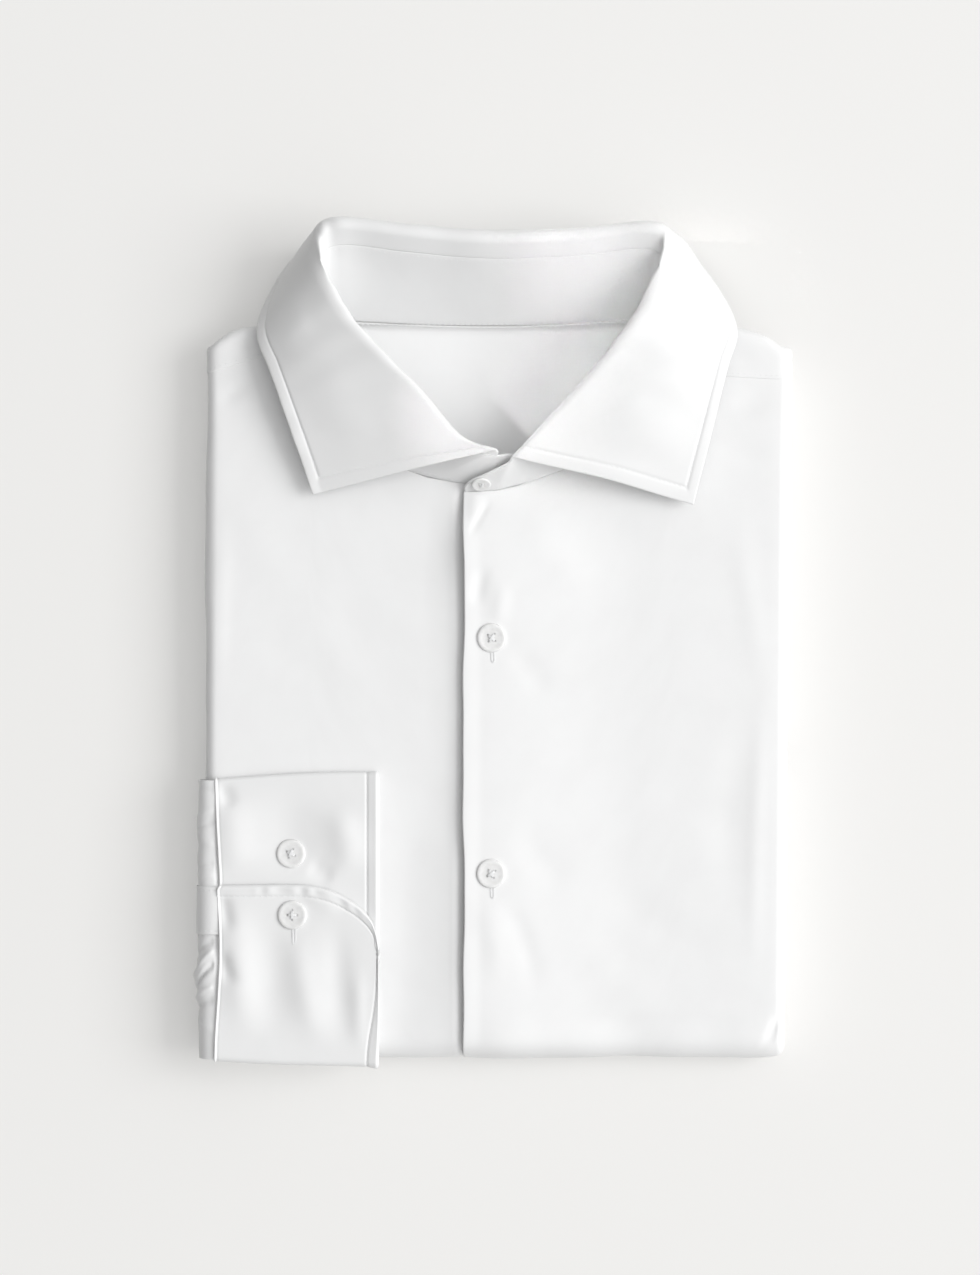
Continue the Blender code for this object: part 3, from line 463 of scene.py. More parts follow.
def frontGrid(columns, side, sideTable, seamTable, neckTable, rise, creases):
    seamStart = min(abs(row[0]) for row in seamTable)

    def topEdge(x):
        return np.where(side * x >= seamStart, readSmooth(seamTable, side * x), readTable(neckTable, x))

    rows = bodyRows(columns, topEdge(columns))
    outerY, outerZ, _, _, share, tail = (rows[:, place, :] for place in range(6))
    alongY, alongZ = np.gradient(outerY, axis=0), np.gradient(outerZ, axis=0)
    length = np.hypot(alongY, alongZ)
    x = np.broadcast_to(columns, outerY.shape)
    atEdge = valley(x, columns[0], body["edgeSwayWidth"])
    x = x + waves(outerY, body["edgeSway"]) * atEdge * share
    move = rise(x, outerY, share) + creaseHeight(x, outerY, creases) * share
    move = move + waves(x, body["bottomWave"]) * bottomShare(outerY, outerZ)
    hidden = creaseHeight(x, outerY, undersideCreases) * smoothStep((tail - 0.6) / 0.3)
    move = move + hidden * (outerZ < 0.1)
    panel = np.stack([x, outerY + alongZ / length * move, outerZ - alongY / length * move], axis=2)

    reach = readTable(sideTable, 100.0) * side
    edgeColumn = np.array([reach])
    rows = bodyRows(edgeColumn, topEdge(edgeColumn) + body["underYoke"])[:, :, 0]
    outerY, outerZ, innerY, innerZ, share, tail = rows.T
    radius = np.hypot(outerY - innerY, outerZ - innerZ) / 2
    edge = readTable(sideTable, outerY) - body["tailInset"] * smoothStep(tail * 1.2)
    ripple = waves(outerY, body["rippleRight" if side > 0 else "rippleLeft"]) * share
    low = bottomShare(outerY, outerZ) * waves(reach, body["bottomWave"])
    outerY = outerY + alongZ[:, -1] / length[:, -1] * low
    outerZ = outerZ - alongY[:, -1] / length[:, -1] * low
    lines = []
    places = [(turn, 0.0) for turn in np.linspace(0.0, math.pi, 19)]
    places += [(math.pi, strip) for strip in (body["turnedUnder"] * edgeSteps(4, 16.0, 0.5)[4:])]
    for turn, strip in places:
        part = (1.0 - math.cos(turn)) / 2
        spread = radius + ripple * math.sin(turn) ** 2
        lineX = side * (edge - radius + spread * math.sin(turn) - strip)
        crease = creaseHeight(lineX, outerY, creases) * share * (1.0 - part)
        lineX = lineX + side * crease * math.sin(turn)
        lineY = outerY + (innerY - outerY) * part
        lineZ = outerZ + (innerZ - outerZ) * part + crease * math.cos(turn)
        lines.append(np.stack([lineX, lineY, lineZ], axis=1))
    return np.concatenate([panel.transpose(1, 0, 2), np.array(lines)])


def waves(at, table):
    return sum(height * np.sin(at / length + shift) for height, length, shift in table)


def bottomShare(y, z):
    return smoothStep((-152.0 - y) / 12.0) * smoothStep((z - 1.5) / 6.0)


def buttonDimple(x, y, buttons, depth, radius):
    total = 0.0 * x
    for _, _, spotX, spotY in buttons:
        total = total - depth * np.exp(-((x - spotX) ** 2 + (y - spotY) ** 2) / radius ** 2)
    return total


# name, node, x and y of each button
frontButtons = [("buttonFront1", "button_front_1", -1.1, 1.8),
                ("buttonFront2", "button_front_2", -1.3, -96.2)]


def upperFrontRise(x, y, share):
    away = x - closure["edgeX"]
    curl = closure["curl"] * (1.0 - smoothStep(away / closure["curlWidth"])) * smoothStep((62.0 - y) / 12.0)
    dimples = buttonDimple(x, y, frontButtons, body["dimple"], body["dimpleRadius"])
    return (edgeLift(x, y) + curl + dimples) * share


def lowerFrontRise(x, y, share):
    width = readSmooth(closure["slopeWidth"], y)
    part = np.clip((x - closure["slopeEnd"] + width) / width, 0.0, 1.0)
    slope = readSmooth(closure["slopeHeight"], y) * share * part ** closure["slopePower"]
    under = smoothStep((x - closure["dipStart"]) / closure["dipWidth"])
    return slope - (closure["dip"] + slope) * under


def columnPlaces(start, end, spacing):
    return start + (end - start) * stepPlaces(abs(end - start), body[spacing])


def makeFronts():
    columns = columnPlaces(closure["edgeX"], body["leftEndX"], "leftSpacing")
    left = frontGrid(columns, 1, body["sideRight"], body["yokeSeamRight"], body["neckLeft"], upperFrontRise,
                     leftFrontCreases)
    facing = 1.0 - smoothStep((edgeDistances(left)[0] - body["facingWidth"]) / body["facingEase"])
    wall = body["wall"] + (body["facingWall"] - body["wall"]) * facing
    makeCloth("frontLeft", "front_left", left, wall, bodyCloth, side=-1.0)
    columns = columnPlaces(closure["underEdgeX"], body["rightEndX"], "rightSpacing")
    right = frontGrid(columns, -1, body["sideLeft"], body["yokeSeamLeft"], body["neckRight"], lowerFrontRise,
                      rightFrontCreases)
    makeCloth("frontRight", "front_right", right, body["wall"], bodyCloth)
    return left


frontLeftGrid = makeFronts()
print("fronts ready")


# Yoke over the shoulders and the back of the neck

yoke = {
    "wall": 0.9, "low": 12, "gap": -0.5, "lap": 0.3, "endY": 62, "inset": 6.2, "shoulderY": 132,
    "neck": [(-77.3, 125.2, 20.1), (-75, 129.6, 19.3), (-70.1, 132.4, 18), (-64.5, 133.4, 17.1),
             (-58.9, 133.8, 16.4), (-33.4, 132.8, 15.7), (0, 132.2, 15.5), (30, 133, 15.7),
             (55.9, 134.4, 16.4), (62.8, 134, 17.1), (68.4, 132.8, 18), (73.6, 129.4, 19.3),
             (75.9, 124.6, 20.1)],
    "corner": [(0, 0), (104, 0), (110, -2.4), (116, -5.4), (121, -8.4)],
    "roll": 4, "rollTop": 19.95, "smallTurn": 0.08,
    "frontRows": 3, "rollRows": 6,
    # x and y of both ends, half width, height, bow
    "puffs": [(-46, 118, 30, 92, 14, 0.5, 3), (10, 122, 50, 100, 9, -0.35, 3)],
    "sags": [(-112, 124, -88, 120, 2.6, -0.45, 0), (84, 128, 112, 116, 4, -0.5, 0),
             (90, 122, 118, 120, 3, 0.3, 0)],
}


def yokeLine(start, drop, underX, onRoll):
    radius = yoke["roll"] if onRoll else (start[2] - yoke["low"]) / 2
    first = math.acos((start[2] - yoke["low"] - radius) / radius) if onRoll else 0.0
    middleY = start[1] - radius * math.sin(first) if onRoll else yoke["shoulderY"] + drop - radius
    line = []
    for row in range(yoke["frontRows"] + yoke["rollRows"] + 1):
        whole = math.pi * (row - yoke["frontRows"]) / yoke["rollRows"]
        if not onRoll and row < yoke["frontRows"]:
            line.append((start[0], start[1] + (middleY - start[1]) * row / yoke["frontRows"], start[2]))
            continue
        turn = max(whole, first + yoke["smallTurn"] * row) if onRoll else whole
        x = start[0] + (underX - start[0]) * turn / math.pi
        line.append((x, middleY + radius * math.sin(turn), yoke["low"] + radius + radius * math.cos(turn)))
    for y in (110.0, 86.0, yoke["endY"]):
        line.append((underX, y, yoke["low"]))
    return line


def refine(grid, rowSteps, columnSteps):
    # smooth surface through a coarse grid, read at row and column places from 0 to 1 along the cloth
    for axis, steps in ((0, rowSteps), (1, columnSteps)):
        grid = np.moveaxis(grid, axis, 0)
        lengths = np.linalg.norm(np.diff(grid, axis=0), axis=2).mean(axis=1)
        places = np.concatenate([[0.0], np.cumsum(lengths)])
        grid = np.moveaxis(throughRows(places, grid, np.asarray(steps) * places[-1]), 0, axis)
    return grid


def makeYoke():
    halves = []
    for side, table, seam in ((-1, body["sideLeft"], body["yokeSeamLeft"]),
                              (1, body["sideRight"], body["yokeSeamRight"])):
        edge = float(readTable(table, 112.0))
        radius = float(frontHeight(edge, 112.0) - body["upperBack"]) / 2
        starts = []
        for degrees in (90.0, 60.0, 30.0, 0.0):
            turn = math.radians(degrees)
            starts.append((edge - radius + (radius + yoke["lap"]) * math.sin(turn),
                           body["upperBack"] + radius + (radius + yoke["lap"]) * math.cos(turn)))
        for x in (edge - 12.0, 98.0, 88.0, seam[0][0] + 0.3):
            starts.append((x, float(frontHeight(x, readSmooth(seam, x))) + yoke["lap"]))
        half = []
        for x, z in starts:
            start = (side * x, float(readSmooth(seam, x)) + yoke["gap"], z)
            underX = side * min(x, edge - yoke["inset"] - (edge - x) * 0.2)
            half.append(yokeLine(start, float(readTable(yoke["corner"], x)), underX, False))
        halves.append(half)
    neck = [yokeLine(row, 0.0, row[0], row[2] < yoke["rollTop"]) for row in yoke["neck"]]
    coarse = np.array(halves[0] + neck + list(reversed(halves[1])))
    grid = refine(coarse, edgeSteps(190, 300.0, 0.5), edgeSteps(100, 110.0, 0.5))
    x, y = grid[:, :, 0], grid[:, :, 1]
    grid[:, :, 2] += creaseHeight(x, y, yoke["puffs"]) * smoothStep((13.5 - grid[:, :, 2]) / 1.0)
    grid[:, :, 2] += creaseHeight(x, y, yoke["sags"]) * smoothStep((grid[:, :, 2] - 17.0) / 1.5)
    makeCloth("yokePanel", "yoke", grid, yoke["wall"],
              bodyCloth)
    return grid


yokeGrid = makeYoke()
print("yoke ready")


# Folded layers that show at the sides: the left sleeve, and the back inside the body

layersOfCloth = {
    "sleeveLow": 4.9, "sleeveHigh": 10, "sleeveInnerX": -96, "sleeveY": (-156, -50), "sleeveFolds": 3,
    "backY": (-168.6, 58), "backInset": 3, "backStepX": 98.4, "backLow": 10.3, "backStepZ": 11.95,
    "backUnder": 1.65, "backFolds": 3,
    "sleeveNear": (0.0, 0.6, 1.8, 4.0, 8.0, 14.0), "sleeveSlices": 22,
    "backFirst": (0.0, 0.8, 2.0, 4.0, 8.0, 16.0), "backLast": (0.0, 0.8, 2.0, 4.0, 8.0), "backSlices": 30,
}


def slicePlaces(ends, first, last, count):
    # y of the slices: close together at both ends, as first and last count from there, and even between
    start, end = ends
    even = np.linspace(start + first[-1], end - last[-1], count)
    return np.concatenate([start + np.array(first[:-1]), even, end - np.array(last[:-1])[::-1]])


def foldedProfile(low, high, folds):
    # bulges of the folded layers at the edge: how far in from the edge, and height
    profile = []
    thick = (high - low) / folds
    radius = thick / 2
    for fold in range(folds):
        centre = low + thick * (fold + 0.5)
        back = (0.0, 1.1, 0.4)[fold]
        for turn in np.linspace(-math.pi / 2, math.pi / 2, 11)[(0 if fold == 0 else 1):]:
            profile.append((back + radius * (1.0 - math.cos(turn)), centre + radius * math.sin(turn) * 0.97))
    return profile


def foldedLayers(name, node, rings):
    shape = bmesh.new()
    joinRings(shape, [[shape.verts.new((np.array(point) + middle) * mm) for point in ring] for ring in rings])
    bmesh.ops.recalc_face_normals(shape, faces=shape.faces)
    bmesh.ops.triangulate(shape, faces=[face for face in shape.faces if len(face.verts) > 4])
    layer = shape.loops.layers.uv.new("cloth")
    for face in shape.faces:
        for corner in face.loops:
            corner[layer].uv = (corner.vert.co.x + corner.vert.co.z, corner.vert.co.y)
    mesh = meshFrom(shape, name)
    mesh.shade_smooth()
    mesh.set_sharp_from_angle(angle=math.radians(60))
    mesh.materials.append(bodyCloth)
    declare(addObject(name, mesh), "body_cloth", node)


def makeSleeveLeft():
    start, end = layersOfCloth["sleeveY"]
    low, high = layersOfCloth["sleeveLow"], layersOfCloth["sleeveHigh"]
    rings = []
    near = layersOfCloth["sleeveNear"]
    for y in slicePlaces((start, end), near, near, layersOfCloth["sleeveSlices"]):
        fromEnd = min(y - start, end - y)
        inset = 7.0 * (1.0 - min(fromEnd / 14.0, 1.0)) ** 3
        slim = 0.8 * (1.0 - min(fromEnd / 3.0, 1.0)) ** 2
        edge = float(readTable(body["sideRight"], y)) - 1.4 - inset + 0.25 * math.sin(y / 9.0)
        inner = layersOfCloth["sleeveInnerX"] + inset
        ring = [(edge - inward, y, z)
                for inward, z in foldedProfile(low + slim, high - slim, layersOfCloth["sleeveFolds"])]
        rings.append(ring + [(inner, y, high - slim), (inner, y, low + slim)])
    foldedLayers("sleeveLeftFolds", "sleeve_left", rings)


def makeBackLayers():
    start, end = layersOfCloth["backY"]
    rings = []
    for y in slicePlaces((start, end), layersOfCloth["backFirst"], layersOfCloth["backLast"],
                         layersOfCloth["backSlices"]):
        fromEnd = min(y - start, end - y)
        inset = 5.0 * (1.0 - min(fromEnd / 9.0, 1.0)) ** 2
        slim = 2.2 * (1.0 - min(fromEnd / 8.0, 1.0)) ** 2 + 0.1
        # the fronts' height is read no farther out than this
        sheltered = min(max(y, -160.0), 58.0)
        low = layersOfCloth["backStepZ"] + slim
        crown = float(frontHeight(60.0, sheltered)) - layersOfCloth["backUnder"] - slim
        ring = []
        for side, table in ((1, body["sideRight"]), (-1, body["sideLeft"])):
            edge = float(readTable(table, y)) - layersOfCloth["backInset"] - inset
            high = float(frontHeight(edge, sheltered)) - layersOfCloth["backUnder"] - slim
            half = [(side * layersOfCloth["backStepX"], y, layersOfCloth["backLow"] + 0.4 * slim),
                    (side * layersOfCloth["backStepX"], y, low)]
            half += [(side * (edge - 1.0 - inward), y, z)
                     for inward, z in foldedProfile(low, high, layersOfCloth["backFolds"])]
            half += [(side * 60.0, y, crown), (side * 33.0, y, crown),
                     (side * (25.0 if side > 0 else 22.0), y, crown - closure["dip"])]
            ring += half if side > 0 else half[::-1]
        rings.append(ring)
    foldedLayers("backFolds", "back_layers", rings)


makeSleeveLeft()
makeBackLayers()
print("hidden folds ready")


# Collar: stand round the neck, and leaf rolled over it

collar = {
    "standWall": 1.2, "leafWall": 1.15, "roll": 3.4, "endRoll": 1.7, "sideRoll": 1.1, "seamGap": -0.5,
    "stitchFromSide": 4.7, "stitchFromFront": 6.2, "standDrop": 0.9, "grooveDepth": 0.34, "grooveHalf": 0.6,
    "bandPuff": 0.12,
    # distance down the leaf, spacing
    "leafSpacing": [(0, 1.2), (36.5, 1.2), (38, 0.35), (44, 0.32), (44.6, 0.14), (45, 0.05)],
    # x and y of both ends, half width, height, bow
    "creases": [(-84, 84, -30, 88, 6, -0.5, 2), (-70, 118, -52, 72, 9, 0.4, 3),
                (40, 112, 84, 76, 9, 0.4, 3), (30, 84, 82, 72, 6, -0.3, 2),
                (66, 136, 92, 104, 6, -0.3, 2), (-90, 118, -72, 140, 5, 0.35, 0)],
    # neck x, y, z, crest x, y, z, edge x, y, z, strip, fullness
    "rows": [
        (-2.1, 66.4, 22.7, 1.2, 78.9, 39, -75.3, 61.3, 24, 1.6, 1.5),
        (-17.5, 66.9, 22.6, -13.6, 84.4, 40, -79.7, 74.7, 26.3, 2, 2),
        (-40.4, 73.4, 22.3, -30.1, 103.2, 41, -84.2, 87.5, 27.6, 3, 2.5),
        (-58.7, 85.9, 22, -46.5, 119.7, 41.5, -88.3, 99.5, 28.2, 4, 2.5),
        (-70, 98.4, 21.7, -58.4, 132.8, 41.5, -92.9, 112.8, 27.5, 5, 2),
        (-76.3, 111.3, 21.4, -66.6, 145.5, 41.5, -98.2, 128.1, 24, 5.5, 2),
        (-77.2, 125.4, 21.3, -72, 159, 41.5, -93.2, 146, 11.5, 6, 2),
        (-70.1, 132.6, 19.2, -71.2, 170.2, 41.2, -81.8, 162, 5, 6.5, 2),
        (-58.9, 134, 17.6, -60.9, 173.3, 41.2, -66.7, 165.1, 3.2, 6.5, 2),
        (-33.4, 133, 16.9, -34.6, 170.2, 40.8, -36.8, 161.7, 2.8, 6.5, 2),
        (-1.7, 132.4, 16.7, -0.9, 167.7, 40.8, 0, 160, 2.8, 6.5, 2),
        (30, 133.2, 16.9, 33.2, 168.6, 40.8, 36.8, 161.7, 2.8, 6.5, 2),
        (55.9, 134.6, 17.6, 59.9, 171.4, 41.2, 68.3, 165.1, 3.2, 6.5, 2),
        (68.4, 133, 19.2, 70.2, 168.8, 41.2, 82.4, 162, 5, 6.5, 2),
        (75.9, 125.4, 21.3, 69.3, 158.4, 41.5, 94.7, 146.4, 11.5, 6, 2),
        (75.2, 111.3, 21.4, 64.7, 147, 41.5, 101, 129.3, 24, 5.5, 2),
        (69.4, 99.6, 21.7, 57.9, 134.4, 41.5, 97, 114.5, 27.5, 5, 2),
        (58.3, 88.2, 22, 48.4, 121.3, 41.5, 93.2, 99.5, 28.2, 4, 2.5),
        (40.8, 77.2, 22.3, 35.3, 105.7, 41, 89.9, 85.8, 27.6, 3, 2.5),
        (18, 68, 22.6, 20.9, 90.1, 40, 86.3, 71.4, 26.3, 2, 2),
        (0.8, 63.2, 22.7, 7.8, 75.8, 39, 82.7, 57, 24, 1.6, 1.5),
    ],
    # ends of the stand past the leaf: neck x, y, z, top x, y, z
    "endInside": [(11.4, 67.9, 22.8, 10.6, 71.5, 27), (9, 67.7, 22.8, 10.2, 76.2, 34),
                  (5, 67.2, 22.8, 6.4, 77.6, 36)],
    "endOutside": [(-5.2, 62.9, 22.9, -3.6, 69.6, 31.6), (-10.4, 62.8, 22.9, -9.8, 67, 28.2),
                   (-12.4, 62.8, 23.4, -12.3, 64.6, 25.6)],
}


def collarSection(row, place, standParts, leafParts):
    neck, crest, edge = Vector(row[0:3]), Vector(row[3:6]), Vector(row[6:9])
    fromEnd = min(place, 20.0 - place)
    roll = collar["endRoll"] + (collar["roll"] - collar["endRoll"]) * float(smoothStep(fromEnd / 1.6))
    atSide = smoothStep((fromEnd - 0.6) / 1.6) * (1.0 - smoothStep((fromEnd - 5.6) / 1.6))
    roll += collar["sideRoll"] * float(atSide)
    strip, fullness = row[9], row[10]
    uneven = 0.6 * float(smoothStep((fromEnd - 1.0) / 2.0))
    fullness = fullness * (0.35 if place < 9.0 else 1.0)
    crest = crest + Vector((0.0, 0.0, 0.35 * math.sin(place * 3.1) + 0.25 * math.sin(place * 7.3))) * uneven
    sway = 0.3 * math.sin(place * 4.3) + 0.22 * math.sin(place * 9.1)
    crest = crest + (crest - edge).normalized() * uneven * sway
    raised = (2.2 if place < 10.0 else 2.4) * float(smoothStep((5.5 - fromEnd) / 2.0))
    edge = edge + Vector((0.0, 0.0, raised))
    apex = crest
    for _ in range(5):
        inward = (neck - apex).normalized()
        outside = (edge - apex).normalized()
        half = inward.angle(outside) / 2
        bisector = (inward + outside).normalized()
        apex = crest - bisector * roll * (1 / math.sin(half) - 1)
    across = (outside - inward).normalized()
    reach = roll / math.tan(half)
    centre = apex + bisector * roll / math.sin(half)
    seam = apex + inward * (reach + strip)
    foot = neck - Vector((0.0, 0.0, collar["standDrop"]))
    stand = [foot.lerp(seam, part) for part in standParts]
    swing = math.pi / 2 - half
    leaf = []
    for step in range(15):
        turn = -swing + 2 * swing * step / 14
        leaf.append(centre + (across * math.sin(turn) - bisector * math.cos(turn)) * roll)
    first, fall = leaf[0], leaf[-1]
    swell = across * math.cos(half) - bisector * math.sin(half)
    leaf += [fall.lerp(edge, part) + swell * fullness * math.sin(math.pi * part) ** 2 for part in leafParts]
    rise = (first - seam).normalized()
    underRoll = [seam.lerp(first, part) + rise * collar["seamGap"] * (1 - part)
                 for part in (0.0, 0.04, 0.12, 0.3, 0.65)]
    return [tuple(p) for p in stand], [tuple(p) for p in underRoll + leaf]


def collarPlaces():
    near = np.concatenate([[0.0, 0.003, 0.01, 0.022, 0.04], np.arange(0.065, 1.0, 0.034)])
    second = np.arange(1.0, 3.0, 0.07)
    broad = np.arange(3.0, 10.0, 0.115)
    half = np.concatenate([near, second, broad])
    return np.concatenate([half, [10.0], 20.0 - half[::-1]])


def endRows(table, standParts):
    parts = standParts[:, None]
    drop = np.array([0.0, 0.0, collar["standDrop"]])
    return [(np.array(row[0:3]) - drop) * (1 - parts) + np.array(row[3:6]) * parts for row in table]


def makeCollar():
    places = collarPlaces()
    rows = curveAt(collar["rows"], places)
    leafParts = stepPlaces(collar["leafSpacing"][-1][0], collar["leafSpacing"])[1:]
    standParts = edgeSteps(14, 30.0, 0.7)
    sections = [collarSection([float(value) for value in row], place, standParts, leafParts)
                for place, row in zip(places, rows)]
    leaf = np.array([section[1] for section in sections])
    fromFirst, fromLast, _, fromOuter = edgeDistances(leaf)
    ends = np.minimum(fromFirst, fromLast)
    side, front = collar["stitchFromSide"], collar["stitchFromFront"]
    outerLine = np.where(ends > front - 0.8, valley(fromOuter, side, collar["grooveHalf"]), 0.0)
    frontLine = np.where(fromOuter > side - 0.6, valley(ends, front, collar["grooveHalf"]), 0.0)
    curl = (0.5 + 0.12 * np.sin(places * 5.0))[:, None] * smoothStep((side - fromOuter) / side)
    curl = curl * (places < 10.0)[:, None]
    band = np.maximum(valley(fromOuter, 2.3, 2.0), valley(ends, 2.9, 2.4))
    relief = collar["bandPuff"] * band - collar["grooveDepth"] * np.maximum(outerLine, frontLine) + curl
    soft = creaseHeight(leaf[:, :, 0], leaf[:, :, 1], collar["creases"])
    onFall = smoothStep((np.linspace(0.0, 1.0, leaf.shape[1])[None, :] - 0.34) / 0.12)
    leaf = leaf + gridNormals(leaf, 1.0) * (relief + soft * onFall)[:, :, None]
    makeCloth("collarLeafCloth", "collar_leaf", leaf, collar["leafWall"],
              firmCloth, onMiddle=True)
    coarse = (endRows(collar["endInside"], standParts) + [np.array(section[0]) for section in sections[::2]]
              + endRows(collar["endOutside"], standParts))
    stand = refine(np.array(coarse), edgeSteps(330, 430.0, 0.7), standParts)
    makeCloth("collarStandCloth", "collar_stand", stand, collar["standWall"],
              firmCloth, onMiddle=True)
    return leaf, stand


leafGrid, standGrid = makeCollar()
print("collar ready")


# Right cuff, wrapped flat and laid on the front

cuff = {
    "wall": 1, "base": 0.35, "middleTop": 3.7, "overTop": 5.35, "underlapY": -126, "restY": -158,
    "overEdge": [(-115.3, -101), (-84, -100.7), (-76, -101.2), (-68, -103.1), (-61.3, -106.4),
                 (-55.5, -110.4), (-50.8, -115.8), (-48.8, -122), (-47.9, -129)],
    "columns": (-116.4, -47.9),
    # y, sideways wander of the seam bead
    "beadSway": [(-177, -0.5), (-165, -0.2), (-148, 0.9), (-135, 1.6), (-122, 1.7), (-103, 0.8),
                 (-101, 1.7), (-90, 1.3), (-75, 0.5), (-60, -0.1), (-52, -0.2)],
    "beadHeight": 0.5, "beadHalf": 0.42, "beadPlace": 0.75,
    "topFold": [(-116, -56.9), (-84, -54.6), (-60, -53.9), (-47, -54.4)],
    "bottomFold": [(-116, -174.3), (-93, -175.6), (-60, -176.4), (-47, -176.9)],
    "stitch": 5, "grooveDepth": 0.3, "grooveHalf": 0.45, "bandRise": 0.6, "creaseDepth": 1.6,
    "ditchDepth": 0.16, "ditchHalf": 0.4, "ditchPlace": 1.7, "pucker": 0.26,
    "dimple": 0.3, "dimpleRadius": 8,
    # how far the edge at the seam turns down
    "rollDownOver": 0.5, "rollDownUnder": 0.2,
    # spacing along each side: distance from the edge, spacing
    "lineSpacing": [(0, 0.05), (0.3, 0.12), (0.9, 0.34), (7, 0.36), (8.5, 1.2), (72, 1.2)],
    "columnSpacing": [(0, 0.05), (0.3, 0.12), (3.2, 0.2), (5, 1.2), (60, 1.2), (61.5, 0.36), (67.5, 0.34),
                      (68.2, 0.12), (68.5, 0.05)],
    # x and y of both ends, half width, height, bow
    "overCreases": [
        (-113.8, -102, -110, -122, 3, -0.7, 0), (-113.8, -126, -108, -144, 3.2, -0.8, 1),
        (-107, -101, -103, -168, 6.5, 0.75, 1.5), (-92, -108, -90, -170, 7.5, -0.6, 1),
        (-82.5, -118, -73, -170, 5.5, 0.55, 1), (-66, -112, -63, -172, 5.5, -0.6, 0),
        (-57, -132, -56, -173, 3.2, 0.3, 0), (-80, -102, -62, -112, 3.5, 0.3, 1),
    ],
    "underCreases": [
        (-114, -58, -109, -70, 3.2, -0.6, 0), (-110, -62, -108, -100, 7.5, 0.75, 0),
        (-86, -58, -84, -100, 13, -0.75, 0), (-66, -66, -59.5, -99, 6.5, 0.8, -1),
        (-78, -92, -66, -99, 4, -0.5, 0),
    ],
}
cuffButtons = [("buttonCuff1", "button_cuff_1", -84.5, -88.0),
               ("buttonCuff2", "button_cuff_2", -83.8, -113.3)]


def cuffLine(x):
    # outer face at one place across: rows of y, z and which layer
    endY = float(readSmooth(cuff["overEdge"], x))
    topY = float(readSmooth(cuff["topFold"], x))
    bottomY = float(readSmooth(cuff["bottomFold"], x))
    big = (cuff["overTop"] - cuff["base"]) / 2
    small = (cuff["middleTop"] - cuff["base"]) / 2
    line = []
    for part in stepPlaces(72.0, cuff["lineSpacing"]):
        line.append((endY + (bottomY + big - endY) * part, cuff["overTop"], 2))
    for turn in np.linspace(0.0, math.pi, 15)[1:]:
        line.append((bottomY + big - big * math.sin(turn), cuff["base"] + big + big * math.cos(turn), 1))
    for part in np.linspace(0.0, 1.0, 24)[1:]:
        line.append((bottomY + big + (topY - small - bottomY - big) * part, cuff["base"], 1))
    for turn in np.linspace(0.0, math.pi, 13)[1:]:
        line.append((topY - small + small * math.sin(turn), cuff["base"] + small - small * math.cos(turn), 1))
    for part in edgeSteps(56, 70.0, 0.7)[4:]:
        line.append((topY - small + (cuff["underlapY"] - topY + small) * part, cuff["middleTop"], 3))
    return line


def edgeBand(distance, width):
    # turned edge: highest near the edge, sloping down to the stitching
    return smoothStep(distance / 1.3) * np.clip((width - distance) / (width - 1.3), 0.0, 1.0)


def makeCuff():
    start, end = cuff["columns"]
    columns = start + (end - start) * stepPlaces(end - start, cuff["columnSpacing"])
    lines = np.array([cuffLine(x) for x in columns])
    y, rise, layer = lines[:, :, 0], lines[:, :, 1], lines[:, :, 2]
    x = np.broadcast_to(columns[:, None], y.shape)
    x = x + readSmooth(cuff["beadSway"], y) * np.exp(-((x - start) / 12.0) ** 2)
    grid = np.stack([x, y, frontHeight(x, np.maximum(y, cuff["restY"])) + rise], axis=2)
    fromSeam, fromHem, fromOver, _ = edgeDistances(grid)
    stitch = cuff["stitch"]
    hemLine = np.where(fromOver > stitch - 0.5, valley(fromHem, stitch, cuff["grooveHalf"]), 0.0)
    overLine = np.where(fromHem > stitch - 0.5, valley(fromOver, stitch, cuff["grooveHalf"]), 0.0)
    band = np.maximum(edgeBand(fromHem, stitch), edgeBand(fromOver, stitch))
    relief = cuff["bandRise"] * band - cuff["grooveDepth"] * np.maximum(hemLine, overLine)
    shirr = np.sin(x / 1.25 + np.sin(x / 3.1)) * smoothStep((fromSeam - 12.0) / 10.0)
    pucker = cuff["pucker"] * shirr * smoothStep((fromHem - 14.0) / 12.0) * valley(fromOver, 2.4, 1.9)
    under, over = (cuff["creaseDepth"] * creaseHeight(x, y, cuff[creases])
                   + buttonDimple(x, y, [button], cuff["dimple"], cuff["dimpleRadius"])
                   for creases, button in zip(("underCreases", "overCreases"), cuffButtons))
    rollDown = np.where(layer == 2, cuff["rollDownOver"], cuff["rollDownUnder"])
    rollDown = rollDown * (1.0 - smoothStep(fromSeam / 0.9))
    seamPull = (cuff["beadHeight"] * valley(fromSeam, cuff["beadPlace"], cuff["beadHalf"])
                - cuff["ditchDepth"] * valley(fromSeam, cuff["ditchPlace"], cuff["ditchHalf"]) - rollDown)
    move = relief + pucker + np.where(layer == 2, over, 0.0) + np.where(layer == 3, under, 0.0) + seamPull
    grid = grid + gridNormals(grid, -1.0) * move[:, :, None]
    makeCloth("cuffRightCloth", "cuff_right", grid, cuff["wall"], firmCloth,
              side=-1.0)
    return grid


cuffGrid = makeCuff()
print("cuff ready")


# Right sleeve round the left side fold, with its pleats, seam bead and placket strip

